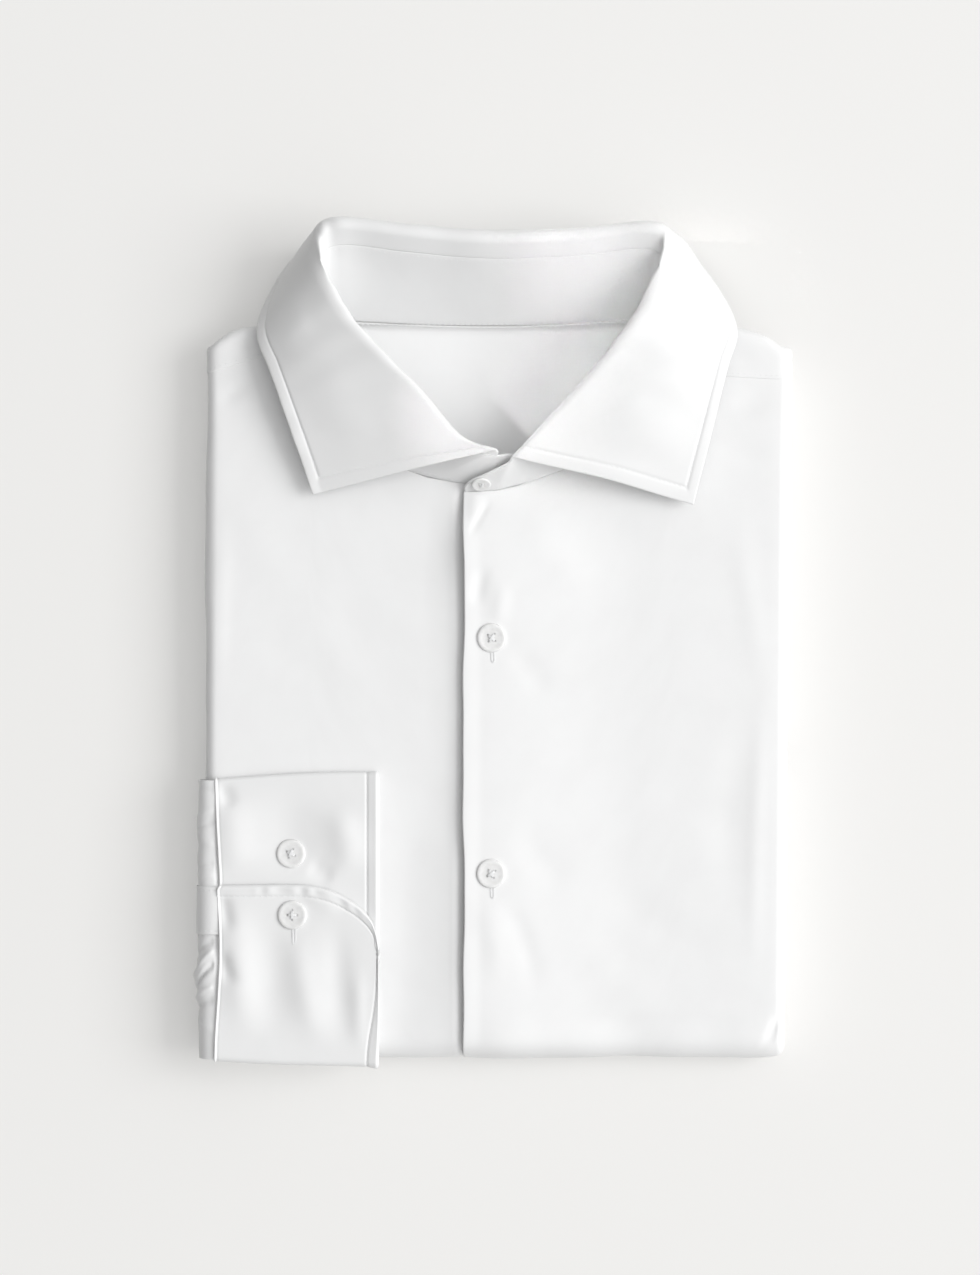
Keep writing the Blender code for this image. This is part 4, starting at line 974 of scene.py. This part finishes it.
sleeve = {
    "wall": 0.6, "thick": 2.6, "gap": 0.35, "topY": -57.5, "bottomY": -173.5, "underY": -158, "endX": -100,
    "firstTurn": 4.5, "liftStart": 85, "liftLength": 45,
    # y, how much higher the sleeve stands where it comes out of the cuff
    "seamRise": [(-174, 1.4), (-103, 1.4), (-100, 0.5), (-57, 0.5)],
    # y, height over the front where it lies inside the cuff
    "startX": -113.4, "inCuff": [(-174, 3.4), (-103, 3.4), (-100, 2.1), (-57, 2.1)],
    # y, fullness of the outline
    "pleats": [(-174, 0), (-164, 0.2), (-152, 0.4), (-146, 1.2), (-140, 1.9), (-134, 0.9),
               (-125, 0.5), (-112, 0.3), (-100, 0.2), (-90, 0.6), (-84, 0.1), (-78, 0.9), (-70, 0.2),
               (-57, 0)],
    # y at the seam, y at the fold, half width, height: creases that start at the cuff's seam
    "gathers": [(-62, -60, 1.4, -0.3), (-70, -73, 1.2, 0.35), (-75, -79, 1.1, -0.45),
                (-84, -81, 1.3, 0.3), (-92, -94, 1.2, -0.35), (-97, -97.5, 1, 0.3),
                (-124.5, -131, 1.3, -0.8), (-128.5, -139.5, 1.1, 1), (-134, -146, 1.5, -1.3),
                (-143.5, -149, 1, 0.9), (-149, -153, 1.4, -0.7), (-160, -158, 1.8, 0.3)],
    "placketY": (-121.6, -101.6), "placketTurn": (-7, 140), "placketWall": 0.5, "placketGap": 0.25,
}


def sleevePoints(y, turn, out):
    edge = readTable(body["sideLeft"], y)
    high = frontHeight(-edge, np.maximum(y, cuff["restY"]))
    bodyRadius = (high - body["upperBack"]) / 2
    fullness = readSmooth(sleeve["pleats"], y) * np.sin(turn) ** 2
    rise = readTable(sleeve["seamRise"], y) * (1.0 - smoothStep((turn - 0.08) / 1.0))
    reach = bodyRadius + sleeve["gap"] + sleeve["thick"] + fullness + rise + out
    square = (np.abs(np.sin(turn)) ** 3 + np.abs(np.cos(turn)) ** 3) ** (-1 / 3)
    reach = reach * np.where(turn < math.pi / 2, square, 1.0)
    return np.stack([-(edge - bodyRadius) - np.sin(turn) * reach, y + 0.0 * turn,
                     body["upperBack"] + bodyRadius + np.cos(turn) * reach], axis=-1)


def makeSleeveRight():
    turns = np.radians(sleeve["firstTurn"] + (180.0 - sleeve["firstTurn"]) * np.linspace(0.0, 1.0, 44))
    late = smoothStep((np.degrees(turns) - sleeve["liftStart"]) / sleeve["liftLength"])
    bottoms = sleeve["bottomY"] + (sleeve["underY"] - sleeve["bottomY"]) * late
    parts = edgeSteps(128, 116.0, 0.5)
    y = sleeve["topY"] + (bottoms[:, None] - sleeve["topY"]) * parts[None, :]
    turn = np.broadcast_to(turns[:, None], y.shape)
    move = np.zeros(y.shape)
    for seamY, foldY, halfWidth, height in sleeve["gathers"]:
        centre = seamY + (foldY - seamY) * smoothStep(turn / 1.6)
        fade = smoothStep(turn / 0.25) * np.cos(turn / 2.6) ** 2
        move += height * valley(y, centre, halfWidth) * fade
    grid = sleevePoints(y, turn, move)
    first, last = grid[0], grid[-1]
    inside = first.copy()
    inside[:, 0] = sleeve["startX"]
    inside[:, 2] = frontHeight(inside[:, 0], inside[:, 1]) + readTable(sleeve["inCuff"], inside[:, 1])
    lead = [inside + (first - inside) * part for part in (0.0, 0.03, 0.25, 0.5, 0.75, 0.93)]
    tail = [last + (np.array([sleeve["endX"], 0.0, 0.0]) - last * np.array([1.0, 0.0, 0.0])) * part
            for part in (0.2, 0.4, 0.6, 0.8, 0.97, 1.0)]
    grid = np.concatenate([np.array(lead), grid, np.array(tail)])
    makeCloth("sleeveRightCloth", "sleeve_right", grid, sleeve["wall"],
              bodyCloth)


def makeSleevePlacket():
    low, high = sleeve["placketY"]
    start, end = sleeve["placketTurn"]
    turns = np.radians(start + (end - start) * edgeSteps(36, 24.0, 0.5))
    y = high + (low - high) * edgeSteps(26, 20.0, 0.5)
    turn, place = np.meshgrid(turns, y, indexing="ij")
    fromEdge = np.minimum(high - place, place - low)
    relief = 0.1 * valley(fromEdge, 0.7, 0.6) - 0.18 * valley(fromEdge, 1.6, 0.4)
    grid = sleevePoints(place, turn, sleeve["placketGap"] + sleeve["placketWall"] + relief)
    makeCloth("sleevePlacketCloth", "sleeve_placket", grid, sleeve["placketWall"],
              bodyCloth)
    return grid


makeSleeveRight()
placketGrid = makeSleevePlacket()
print("sleeve ready")


# Buttons with rims, holes and thread

buttonShape = {
    "radius": 6.1, "thick": 1.45, "gap": 0.1, "sink": 0.4, "rim": 1.5, "dish": 0.24, "hole": 0.4,
    "pitch": 1.45, "collarScale": 0.66, "segments": 72, "threadRadius": 0.2,
    # share of the radius, share of the thickness; then distance inwards of the rim, share of the dish
    "outside": [(0, 0), (0.5, 0), (0.82, 0.03), (0.93, 0.14), (0.98, 0.3), (1, 0.48), (0.992, 0.64),
                (0.965, 0.8), (0.925, 0.92), (0.88, 0.98), (0.83, 1), (0.78, 0.99)],
    "inside": [(0.1, 0.22), (0.6, 0.66), (1.3, 0.94)],
    # collar button: its seat, how far it stands off, its direction
    "collarSeat": (-5.3, 66, 27.2), "collarOff": 0.75, "collarNormal": (0.06, -0.80, 0.60),
}


def topAt(grid, x, y, reach=1.4):
    # height of the cloth's upper face at one place
    near = grid[np.hypot(grid[:, :, 0] - x, grid[:, :, 1] - y) < reach]
    return float(np.mean(near[near[:, 2] > near[:, 2].max() - 0.6][:, 2]))


def surfaceNormal(height, x, y):
    step = 4.0
    slopeX = (height(x + step, y) - height(x - step, y)) / (2 * step)
    slopeY = (height(x, y + step) - height(x, y - step)) / (2 * step)
    return Vector((-float(slopeX), -float(slopeY), 1.0)).normalized()


def circle(count):
    return np.linspace(0.0, 2 * math.pi, count, endpoint=False)


def buttonBody(scale):
    size = buttonShape
    radius, thick, dish = (size[key] * scale for key in ("radius", "thick", "dish"))
    well = radius - size["rim"] * scale
    profile = [(share * radius, high * thick) for share, high in size["outside"]]
    profile += [(well - inward * scale, thick - deep * dish) for inward, deep in size["inside"]]
    profile += [(0.3 * radius, thick - dish), (0.0, thick - dish)]
    shape = bmesh.new()
    rings = []
    for distance, height in profile:
        turns = circle(size["segments"]) if distance else [0.0]
        rings.append([shape.verts.new((distance * math.cos(turn) * mm, distance * math.sin(turn) * mm,
                                       height * mm)) for turn in turns])
    joinRings(shape, rings, capped=False)
    bmesh.ops.recalc_face_normals(shape, faces=shape.faces)
    return meshFrom(shape, "buttonBody")


def holeCutters(scale):
    shape = bmesh.new()
    radius = buttonShape["hole"] * scale * mm
    for signX in (-1, 1):
        for signY in (-1, 1):
            made = bmesh.ops.create_cone(shape, cap_ends=True, segments=24, radius1=radius, radius2=radius,
                                         depth=12 * scale * mm)
            shift = Vector((signX, signY, 0.0)) * buttonShape["pitch"] * scale * mm
            bmesh.ops.translate(shape, verts=made["verts"], vec=shift)
    return meshFrom(shape, "holeCutters")


def threadArc(shape, start, end, rise, radius):
    # one strand from hole to hole, arched over the button's face, its ends down in the holes
    rings = []
    steps = 10
    up = Vector((0.0, 0.0, 1.0))
    side = (end - start).normalized().cross(up)
    for step in range(steps + 1):
        height = rise * math.sin(math.pi * step / steps) ** 0.7 - (radius * 6 if step in (0, steps) else 0.0)
        centre = start.lerp(end, step / steps) + up * height
        rings.append([shape.verts.new(centre + side * math.cos(turn) * radius + up * math.sin(turn) * radius)
                      for turn in circle(8)])
    joinRings(shape, rings)


def threadMesh(scale):
    size = buttonShape
    shape = bmesh.new()
    face = (size["thick"] - size["dish"]) * scale * mm
    pitch = size["pitch"] * scale * mm
    for crossing, sign in enumerate((-1, 1)):
        for strand in (-0.28, 0.0, 0.28):
            aside = Vector((sign * strand, -strand, 0.0)) * mm * scale * 0.8
            threadArc(shape, Vector((-pitch, -sign * pitch, face)) + aside,
                      Vector((pitch, sign * pitch, face)) + aside,
                      (0.4 + 0.22 * crossing) * scale * mm, size["threadRadius"] * scale * mm)
    shank = bmesh.ops.create_cone(shape, cap_ends=True, segments=20, radius1=1.7 * scale * mm,
                                  radius2=1.5 * scale * mm, depth=0.8 * mm)
    bmesh.ops.translate(shape, verts=shank["verts"], vec=Vector((0.0, 0.0, -0.3 * mm)))
    bmesh.ops.recalc_face_normals(shape, faces=shape.faces)
    return meshFrom(shape, "buttonThread")


def placeMesh(mesh, place, normal, turn):
    spin = Vector((0.0, 0.0, 1.0)).rotation_difference(normal).to_matrix().to_4x4()
    mesh.transform(Matrix.Rotation(turn, 4, "Z"))
    mesh.transform(spin)
    mesh.transform(Matrix.Translation(Vector(place) * mm))


def makeButton(name, node, place, normal, scale, turn):
    raw = addObject(name + "Raw", buttonBody(scale))
    cutter = addObject(name + "Holes", holeCutters(scale))
    cut = raw.modifiers.new("holes", "BOOLEAN")
    cut.operation = "DIFFERENCE"
    cut.object = cutter
    made = bpy.data.meshes.new_from_object(raw.evaluated_get(bpy.context.evaluated_depsgraph_get()))
    for item in (raw, cutter):
        bpy.data.objects.remove(item)
    made.materials.clear()
    sewn = threadMesh(scale)
    seat = np.array(place) + np.array(normal) * (buttonShape["gap"] - buttonShape["sink"]) + middle
    for mesh, material, itemName, nodes in ((made, pearl, name, [node]), (sewn, thread, name + "Thread", [])):
        mesh.materials.append(material)
        mesh.shade_smooth()
        if nodes:
            mesh.set_sharp_from_angle(angle=math.radians(38))
        placeMesh(mesh, seat, normal, turn)
        declare(addObject(itemName, mesh), "button", *nodes)


def clothAt(grid):
    return lambda x, y: topAt(grid, x, y)


def makeButtons():
    for grid, buttons, turns in ((frontLeftGrid, frontButtons, (0.12, -0.2)),
                                 (cuffGrid, cuffButtons, (0.3, 0.75))):
        for (name, node, x, y), turn in zip(buttons, turns):
            normal = surfaceNormal(clothAt(grid), x, y)
            makeButton(name, node, (x, y, topAt(grid, x, y)), normal, 1.0, turn)
    normal = Vector(buttonShape["collarNormal"]).normalized()
    place = np.array(buttonShape["collarSeat"]) + np.array(normal) * buttonShape["collarOff"]
    makeButton("buttonCollar", "button_collar", tuple(place), normal, buttonShape["collarScale"], 0.2)


makeButtons()
print("buttons ready")


# Sewing: rows of stitches laid along the cloth by Geometry Nodes

def stitchTree():
    tree = bpy.data.node_groups.new("stitchRow", "GeometryNodeTree")
    addInputs(tree, "NodeSocketGeometry", {"Geometry": None})
    addInputs(tree, "NodeSocketFloat", {"Pitch": 0.0023, "Length": 0.0015, "Width": 0.0005, "Height": 0.0004,
                                        "Across": 0.0, "Uneven": 0.12})
    addInputs(tree, "NodeSocketInt", {"Seed": 3})
    addInputs(tree, "NodeSocketMaterial", {"Thread": None})
    tree.interface.new_socket("Geometry", in_out="OUTPUT", socket_type="NodeSocketGeometry")
    inside = nodeIn(tree, "NodeGroupInput", -1400, 0)
    toCurve = nodeIn(tree, "GeometryNodeMeshToCurve", -1200, 200)
    spaced = nodeIn(tree, "GeometryNodeResampleCurve", -1000, 200, mode="LENGTH")
    tangent = nodeIn(tree, "GeometryNodeInputTangent", -1000, -100)
    lie = nodeIn(tree, "GeometryNodeInputNamedAttribute", -1000, -220, data_type="FLOAT_VECTOR")
    setInputs(lie, {"Name": "clothNormal"})
    alongAxis = nodeIn(tree, "FunctionNodeAlignRotationToVector", -800, -60, axis="X")
    upAxis = nodeIn(tree, "FunctionNodeAlignRotationToVector", -600, -60, axis="Z", pivot_axis="X")
    turned = nodeIn(tree, "FunctionNodeAxisAngleToRotation", -800, -300)
    setInputs(turned, {"Axis": (0.0, 0.0, 1.0)})
    spun = nodeIn(tree, "FunctionNodeRotateRotation", -400, -60, rotation_space="LOCAL")
    sizes = nodeIn(tree, "ShaderNodeCombineXYZ", -800, -480)
    less = nodeIn(tree, "ShaderNodeMath", -1000, -620, operation="SUBTRACT")
    less.inputs[0].default_value = 1.0
    change = nodeIn(tree, "FunctionNodeRandomValue", -800, -640, data_type="FLOAT")
    change.inputs[3].default_value = 1.0
    scaled = nodeIn(tree, "ShaderNodeVectorMath", -500, -500, operation="SCALE")
    bead = nodeIn(tree, "GeometryNodeMeshUVSphere", -600, 320)
    setInputs(bead, {"Segments": 6, "Rings": 5, "Radius": 0.5})
    laid = nodeIn(tree, "GeometryNodeInstanceOnPoints", -200, 100)
    real = nodeIn(tree, "GeometryNodeRealizeInstances", 0, 100)
    smooth = nodeIn(tree, "GeometryNodeSetShadeSmooth", 180, 100)
    finish = nodeIn(tree, "GeometryNodeSetMaterial", 360, 100)
    outside = nodeIn(tree, "NodeGroupOutput", 560, 100)
    linkAll(tree, (inside, "Geometry", toCurve, "Mesh"), (toCurve, "Curve", spaced, "Curve"),
            (inside, "Pitch", spaced, "Length"), (tangent, "Tangent", alongAxis, "Vector"),
            (alongAxis, "Rotation", upAxis, "Rotation"), (lie, "Attribute", upAxis, "Vector"),
            (inside, "Across", turned, "Angle"), (upAxis, "Rotation", spun, "Rotation"),
            (turned, "Rotation", spun, "Rotate By"), (inside, "Length", sizes, "X"),
            (inside, "Width", sizes, "Y"), (inside, "Height", sizes, "Z"),
            (inside, "Uneven", less, 1), (less, 0, change, 2),
            (inside, "Seed", change, "Seed"), (sizes, "Vector", scaled, 0), (change, 1, scaled, "Scale"),
            (spaced, "Curve", laid, "Points"), (bead, "Mesh", laid, "Instance"),
            (spun, "Rotation", laid, "Rotation"), (scaled, "Vector", laid, "Scale"),
            (laid, "Instances", real, "Geometry"), (real, "Geometry", smooth, "Geometry"),
            (smooth, "Geometry", finish, "Geometry"), (inside, "Thread", finish, "Material"),
            (finish, "Geometry", outside, "Geometry"))
    return tree


rowOfStitches = stitchTree()


def readGrid(grid, row, column):
    low = np.clip(np.floor(row).astype(int), 0, grid.shape[0] - 2)
    left = np.clip(np.floor(column).astype(int), 0, grid.shape[1] - 2)
    partRow, partColumn = (row - low)[:, None], (column - left)[:, None]
    return ((grid[low, left] * (1 - partRow) + grid[low + 1, left] * partRow) * (1 - partColumn)
            + (grid[low, left + 1] * (1 - partRow) + grid[low + 1, left + 1] * partRow) * partColumn)


def insetLine(grid, side, edge, distance, keep, lift):
    # line over the cloth at one distance from an edge: 0 first row, 1 last row, 2 first column, 3 last column
    distances = edgeDistances(grid)
    away = distances[edge] if edge < 2 else distances[edge].T
    count, lines = away.shape
    order = slice(None) if edge in (0, 2) else slice(None, None, -1)
    crossing = np.array([np.interp(distance, away[order, line], np.arange(count)[order])
                         for line in range(lines)])
    rowAt, columnAt = (crossing, np.arange(lines, dtype=float))[::1 if edge < 2 else -1]
    points = readGrid(grid, rowAt, columnAt)
    lie = readGrid(gridNormals(grid, side), rowAt, columnAt)
    lie /= np.linalg.norm(lie, axis=1, keepdims=True)
    chosen = keep(points, [readGrid(d[:, :, None], rowAt, columnAt)[:, 0] for d in distances])
    return points[chosen] + lie[chosen] * lift, lie[chosen]


def polyline(points, lie):
    mesh = bpy.data.meshes.new("stitchPath")
    edges = [(i, i + 1) for i in range(len(points) - 1)]
    mesh.from_pydata(((points + middle) * mm).tolist(), edges, [])
    layer = mesh.attributes.new("clothNormal", "FLOAT_VECTOR", "POINT")
    layer.data.foreach_set("vector", np.asarray(lie, np.float32).ravel())
    return mesh


def sew(name, lines, slotName, seed, **sizes):
    parts = []
    for place, (points, lie) in enumerate(lines):
        path = addObject("%sPath%d" % (name, place), polyline(points, lie))
        modifier = path.modifiers.new("stitches", "NODES")
        modifier.node_group = rowOfStitches
        wanted = dict(sizes, Seed=seed + place, Thread=thread)
        for socket in rowOfStitches.interface.items_tree:
            if socket.in_out == "INPUT" and socket.name in wanted:
                modifier[socket.identifier] = wanted[socket.name]
        parts.append(path)
    graph = bpy.context.evaluated_depsgraph_get()
    joined = bmesh.new()
    for path in parts:
        made = bpy.data.meshes.new_from_object(path.evaluated_get(graph))
        joined.from_mesh(made)
        bpy.data.objects.remove(path)
        bpy.data.meshes.remove(made)
    mesh = meshFrom(joined, name)
    mesh.materials.clear()
    mesh.materials.append(thread)
    mesh.shade_smooth()
    declare(addObject(name, mesh), slotName)
    print("sewn", name, len(mesh.polygons), "faces")


# Lift and sink: how far the thread stands off, and how far the stitch line lies under the cloth's face.
# A buttonhole has its distance from the button's middle, shift aside, length and width.
sewing = {
    "lift": 0.02, "sink": 0.1, "standInset": 1.8, "seamInset": 1.6,
    "frontHole": (4.6, 0.4, 11.0, 1.2), "cuffHole": (5.5, 0.6, 13.0, 1.2),
}


def pastEnds(distance):
    return lambda points, test: np.minimum(test[0], test[1]) > distance


def sewCollar():
    side, front = collar["stitchFromSide"], collar["stitchFromFront"]
    lift = collar["leafWall"] / 2 + sewing["lift"] - sewing["sink"]

    def pastRoll(points, test):
        return (test[3] > side) & (test[2] > 6.0)

    lines = [insetLine(leafGrid, 1.0, 3, side, pastEnds(front), lift)]
    lines += [insetLine(leafGrid, 1.0, edge, front, pastRoll, lift) for edge in (0, 1)]
    sew("collarLeafStitches", lines, "collar_cloth", 11)
    lift = collar["standWall"] / 2 + sewing["lift"] - sewing["sink"]
    sew("collarStandStitches", [insetLine(standGrid, face, edge, sewing["standInset"], pastEnds(2.0), lift)
                                for face, edge in ((1.0, 2), (1.0, 3), (-1.0, 2))], "collar_cloth", 23)


def sewCuff():
    stitch, lift = cuff["stitch"], sewing["lift"] - sewing["sink"]

    def awayFromHem(points, test):
        return (test[1] > stitch) & (test[0] > 1.0)

    def onOver(points, test):
        return test[2] > stitch

    lines = [insetLine(cuffGrid, -1.0, 2, stitch, awayFromHem, lift),
             insetLine(cuffGrid, -1.0, 1, stitch, onOver, lift)]
    sew("cuffStitches", lines, "collar_cloth", 31)


def sewYoke():
    def onTop(points, test):
        return (np.abs(points[:, 0]) > 70.0) & (points[:, 2] > 15.0)

    lines = [insetLine(yokeGrid, 1.0, 2, sewing["seamInset"], onTop, sewing["lift"] - sewing["sink"])]
    sew("yokeStitches", lines, "body_cloth", 41)


def sewPlacket():
    lift = sewing["lift"] - sewing["sink"]
    lines = [insetLine(placketGrid, 1.0, edge, sewing["seamInset"], pastEnds(1.0), lift) for edge in (2, 3)]
    sew("placketStitches", lines, "body_cloth", 53)


def buttonholePath(grid, x, y, size, lean, shift):
    # stadium round the slit, walked once; shift 1 reads its height at its own x, and 0 at the button's
    below, aside, length, width = size
    normal = surfaceNormal(clothAt(grid), x, y - below)
    along = Vector((lean, -1.0, 0.0))
    along = (along - normal * along.dot(normal)).normalized()
    side = normal.cross(along)
    centre = Vector((x + aside, y - below, topAt(grid, x + aside * shift, y - below) + 0.1))
    points = []
    for turn in np.linspace(0.0, 2 * math.pi, 61):
        down = (length - width) / 2 * np.clip(3.2 * math.sin(turn), -1.0, 1.0) + width / 2 * math.sin(turn)
        points.append(np.array(centre + side * (width / 2 * math.cos(turn)) + along * down))
    return np.array(points), np.array([normal] * len(points))


def sewButtonholes():
    lines = [buttonholePath(frontLeftGrid, x, y, sewing["frontHole"], 0.05, 0) for _, _, x, y in frontButtons]
    lines.append(buttonholePath(cuffGrid, *cuffButtons[1][2:], sewing["cuffHole"], 0.03, 1))
    sew("buttonholeStitches", lines, "body_cloth", 61, Pitch=0.00034, Length=0.0011, Width=0.00028,
        Height=0.0003, Across=math.pi / 2)


sewCollar()
sewCuff()
sewYoke()
sewPlacket()
sewButtonholes()
print("sewing ready")


# Floor, light and camera

studio = {
    "floorColour": (0.60, 0.595, 0.585), "floorGlow": 0.258, "floorSize": 6.0,
    # light from all round: base, more from the right, more from above, least
    "skyBase": 0.2, "skyRight": 0.64, "skyAbove": 0.74, "skyLeast": 0.02,
    "keyPlace": (3.2, 0.25, 2.65), "keySize": 2.4, "keyPower": 92.0,
    # small lamp with a narrow beam that opens up the shade inside the neck, along the collar's right roll
    "neckTarget": (0.027, 0.122, 0.03), "neckAlong": (0.5, 0.86, 0.0), "neckFrom": (-0.77, 0.1, 0.63),
    "neckDistance": 0.5, "neckSize": (0.016, 0.1), "neckSpread": 6.0, "neckPower": 0.0068,
}
view = {"x": -1.3, "y": 2.7, "height": 1600.0, "lens": 139.3, "sensor": 36.0}


def makeFloor():
    bpy.ops.mesh.primitive_plane_add(size=studio["floorSize"])
    floor = bpy.context.object
    floor.name = "studioFloor"
    floor.data.materials.append(surface("paleBoard", {
        "Base Color": (*studio["floorColour"], 1.0), "Roughness": 0.9, "Specular IOR Level": 0.1,
        "Emission Color": (1.0, 1.0, 0.985, 1.0), "Emission Strength": studio["floorGlow"]})[0])


def makeLamp(name, shape, power, turn, place):
    lamp = bpy.data.lights.new(name, "AREA")
    lamp.shape = shape
    lamp.energy = power
    item = addObject(name, lamp)
    item.rotation_euler = turn.to_euler()
    item.location = place
    return lamp


def makeLights():
    back = Vector(studio["neckFrom"]).normalized()
    along = Vector(studio["neckAlong"])
    along = (along - back * along.dot(back)).normalized()
    neck = makeLamp("neckFill", "RECTANGLE", studio["neckPower"],
                    Matrix((along.cross(back), along, back)).transposed(),
                    Vector(studio["neckTarget"]) + back * studio["neckDistance"])
    neck.size, neck.size_y = studio["neckSize"]
    neck.spread = math.radians(studio["neckSpread"])
    place = Vector(studio["keyPlace"])
    key = makeLamp("keyLight", "SQUARE", studio["keyPower"], (-place).to_track_quat("-Z", "Y"), place)
    key.size = studio["keySize"]


def makeSky():
    world = bpy.data.worlds.new("studioWorld")
    bpy.context.scene.world = world
    world.use_nodes = True
    tree = world.node_tree
    background = tree.nodes["Background"]
    setInputs(background, {"Color": (1.0, 1.0, 1.0, 1.0)})
    direction = nodeIn(tree, "ShaderNodeTexCoord", -900, 0)
    lean = nodeIn(tree, "ShaderNodeVectorMath", -700, 0, operation="DOT_PRODUCT")
    lean.inputs[1].default_value = (studio["skyRight"], 0.0, studio["skyAbove"])
    total = nodeIn(tree, "ShaderNodeMath", -500, 0, operation="ADD")
    total.inputs[1].default_value = studio["skyBase"]
    least = nodeIn(tree, "ShaderNodeMath", -300, 0, operation="MAXIMUM")
    least.inputs[1].default_value = studio["skyLeast"]
    linkAll(tree, (direction, "Generated", lean, 0), (lean, "Value", total, 0), (total, 0, least, 0),
            (least, 0, background, "Strength"))


def makeCamera():
    lens = bpy.data.cameras.new("camera")
    lens.lens = view["lens"]
    lens.sensor_fit = "HORIZONTAL"
    lens.sensor_width = view["sensor"]
    lens.clip_start = 0.05
    lens.clip_end = 20.0
    camera = addObject("camera", lens)
    camera.location = (view["x"] * mm, view["y"] * mm, view["height"] * mm)
    bpy.context.scene.camera = camera
    bpy.context.scene.view_settings.view_transform = "Standard"


makeFloor()
makeLights()
makeSky()
makeCamera()
print("studio ready")
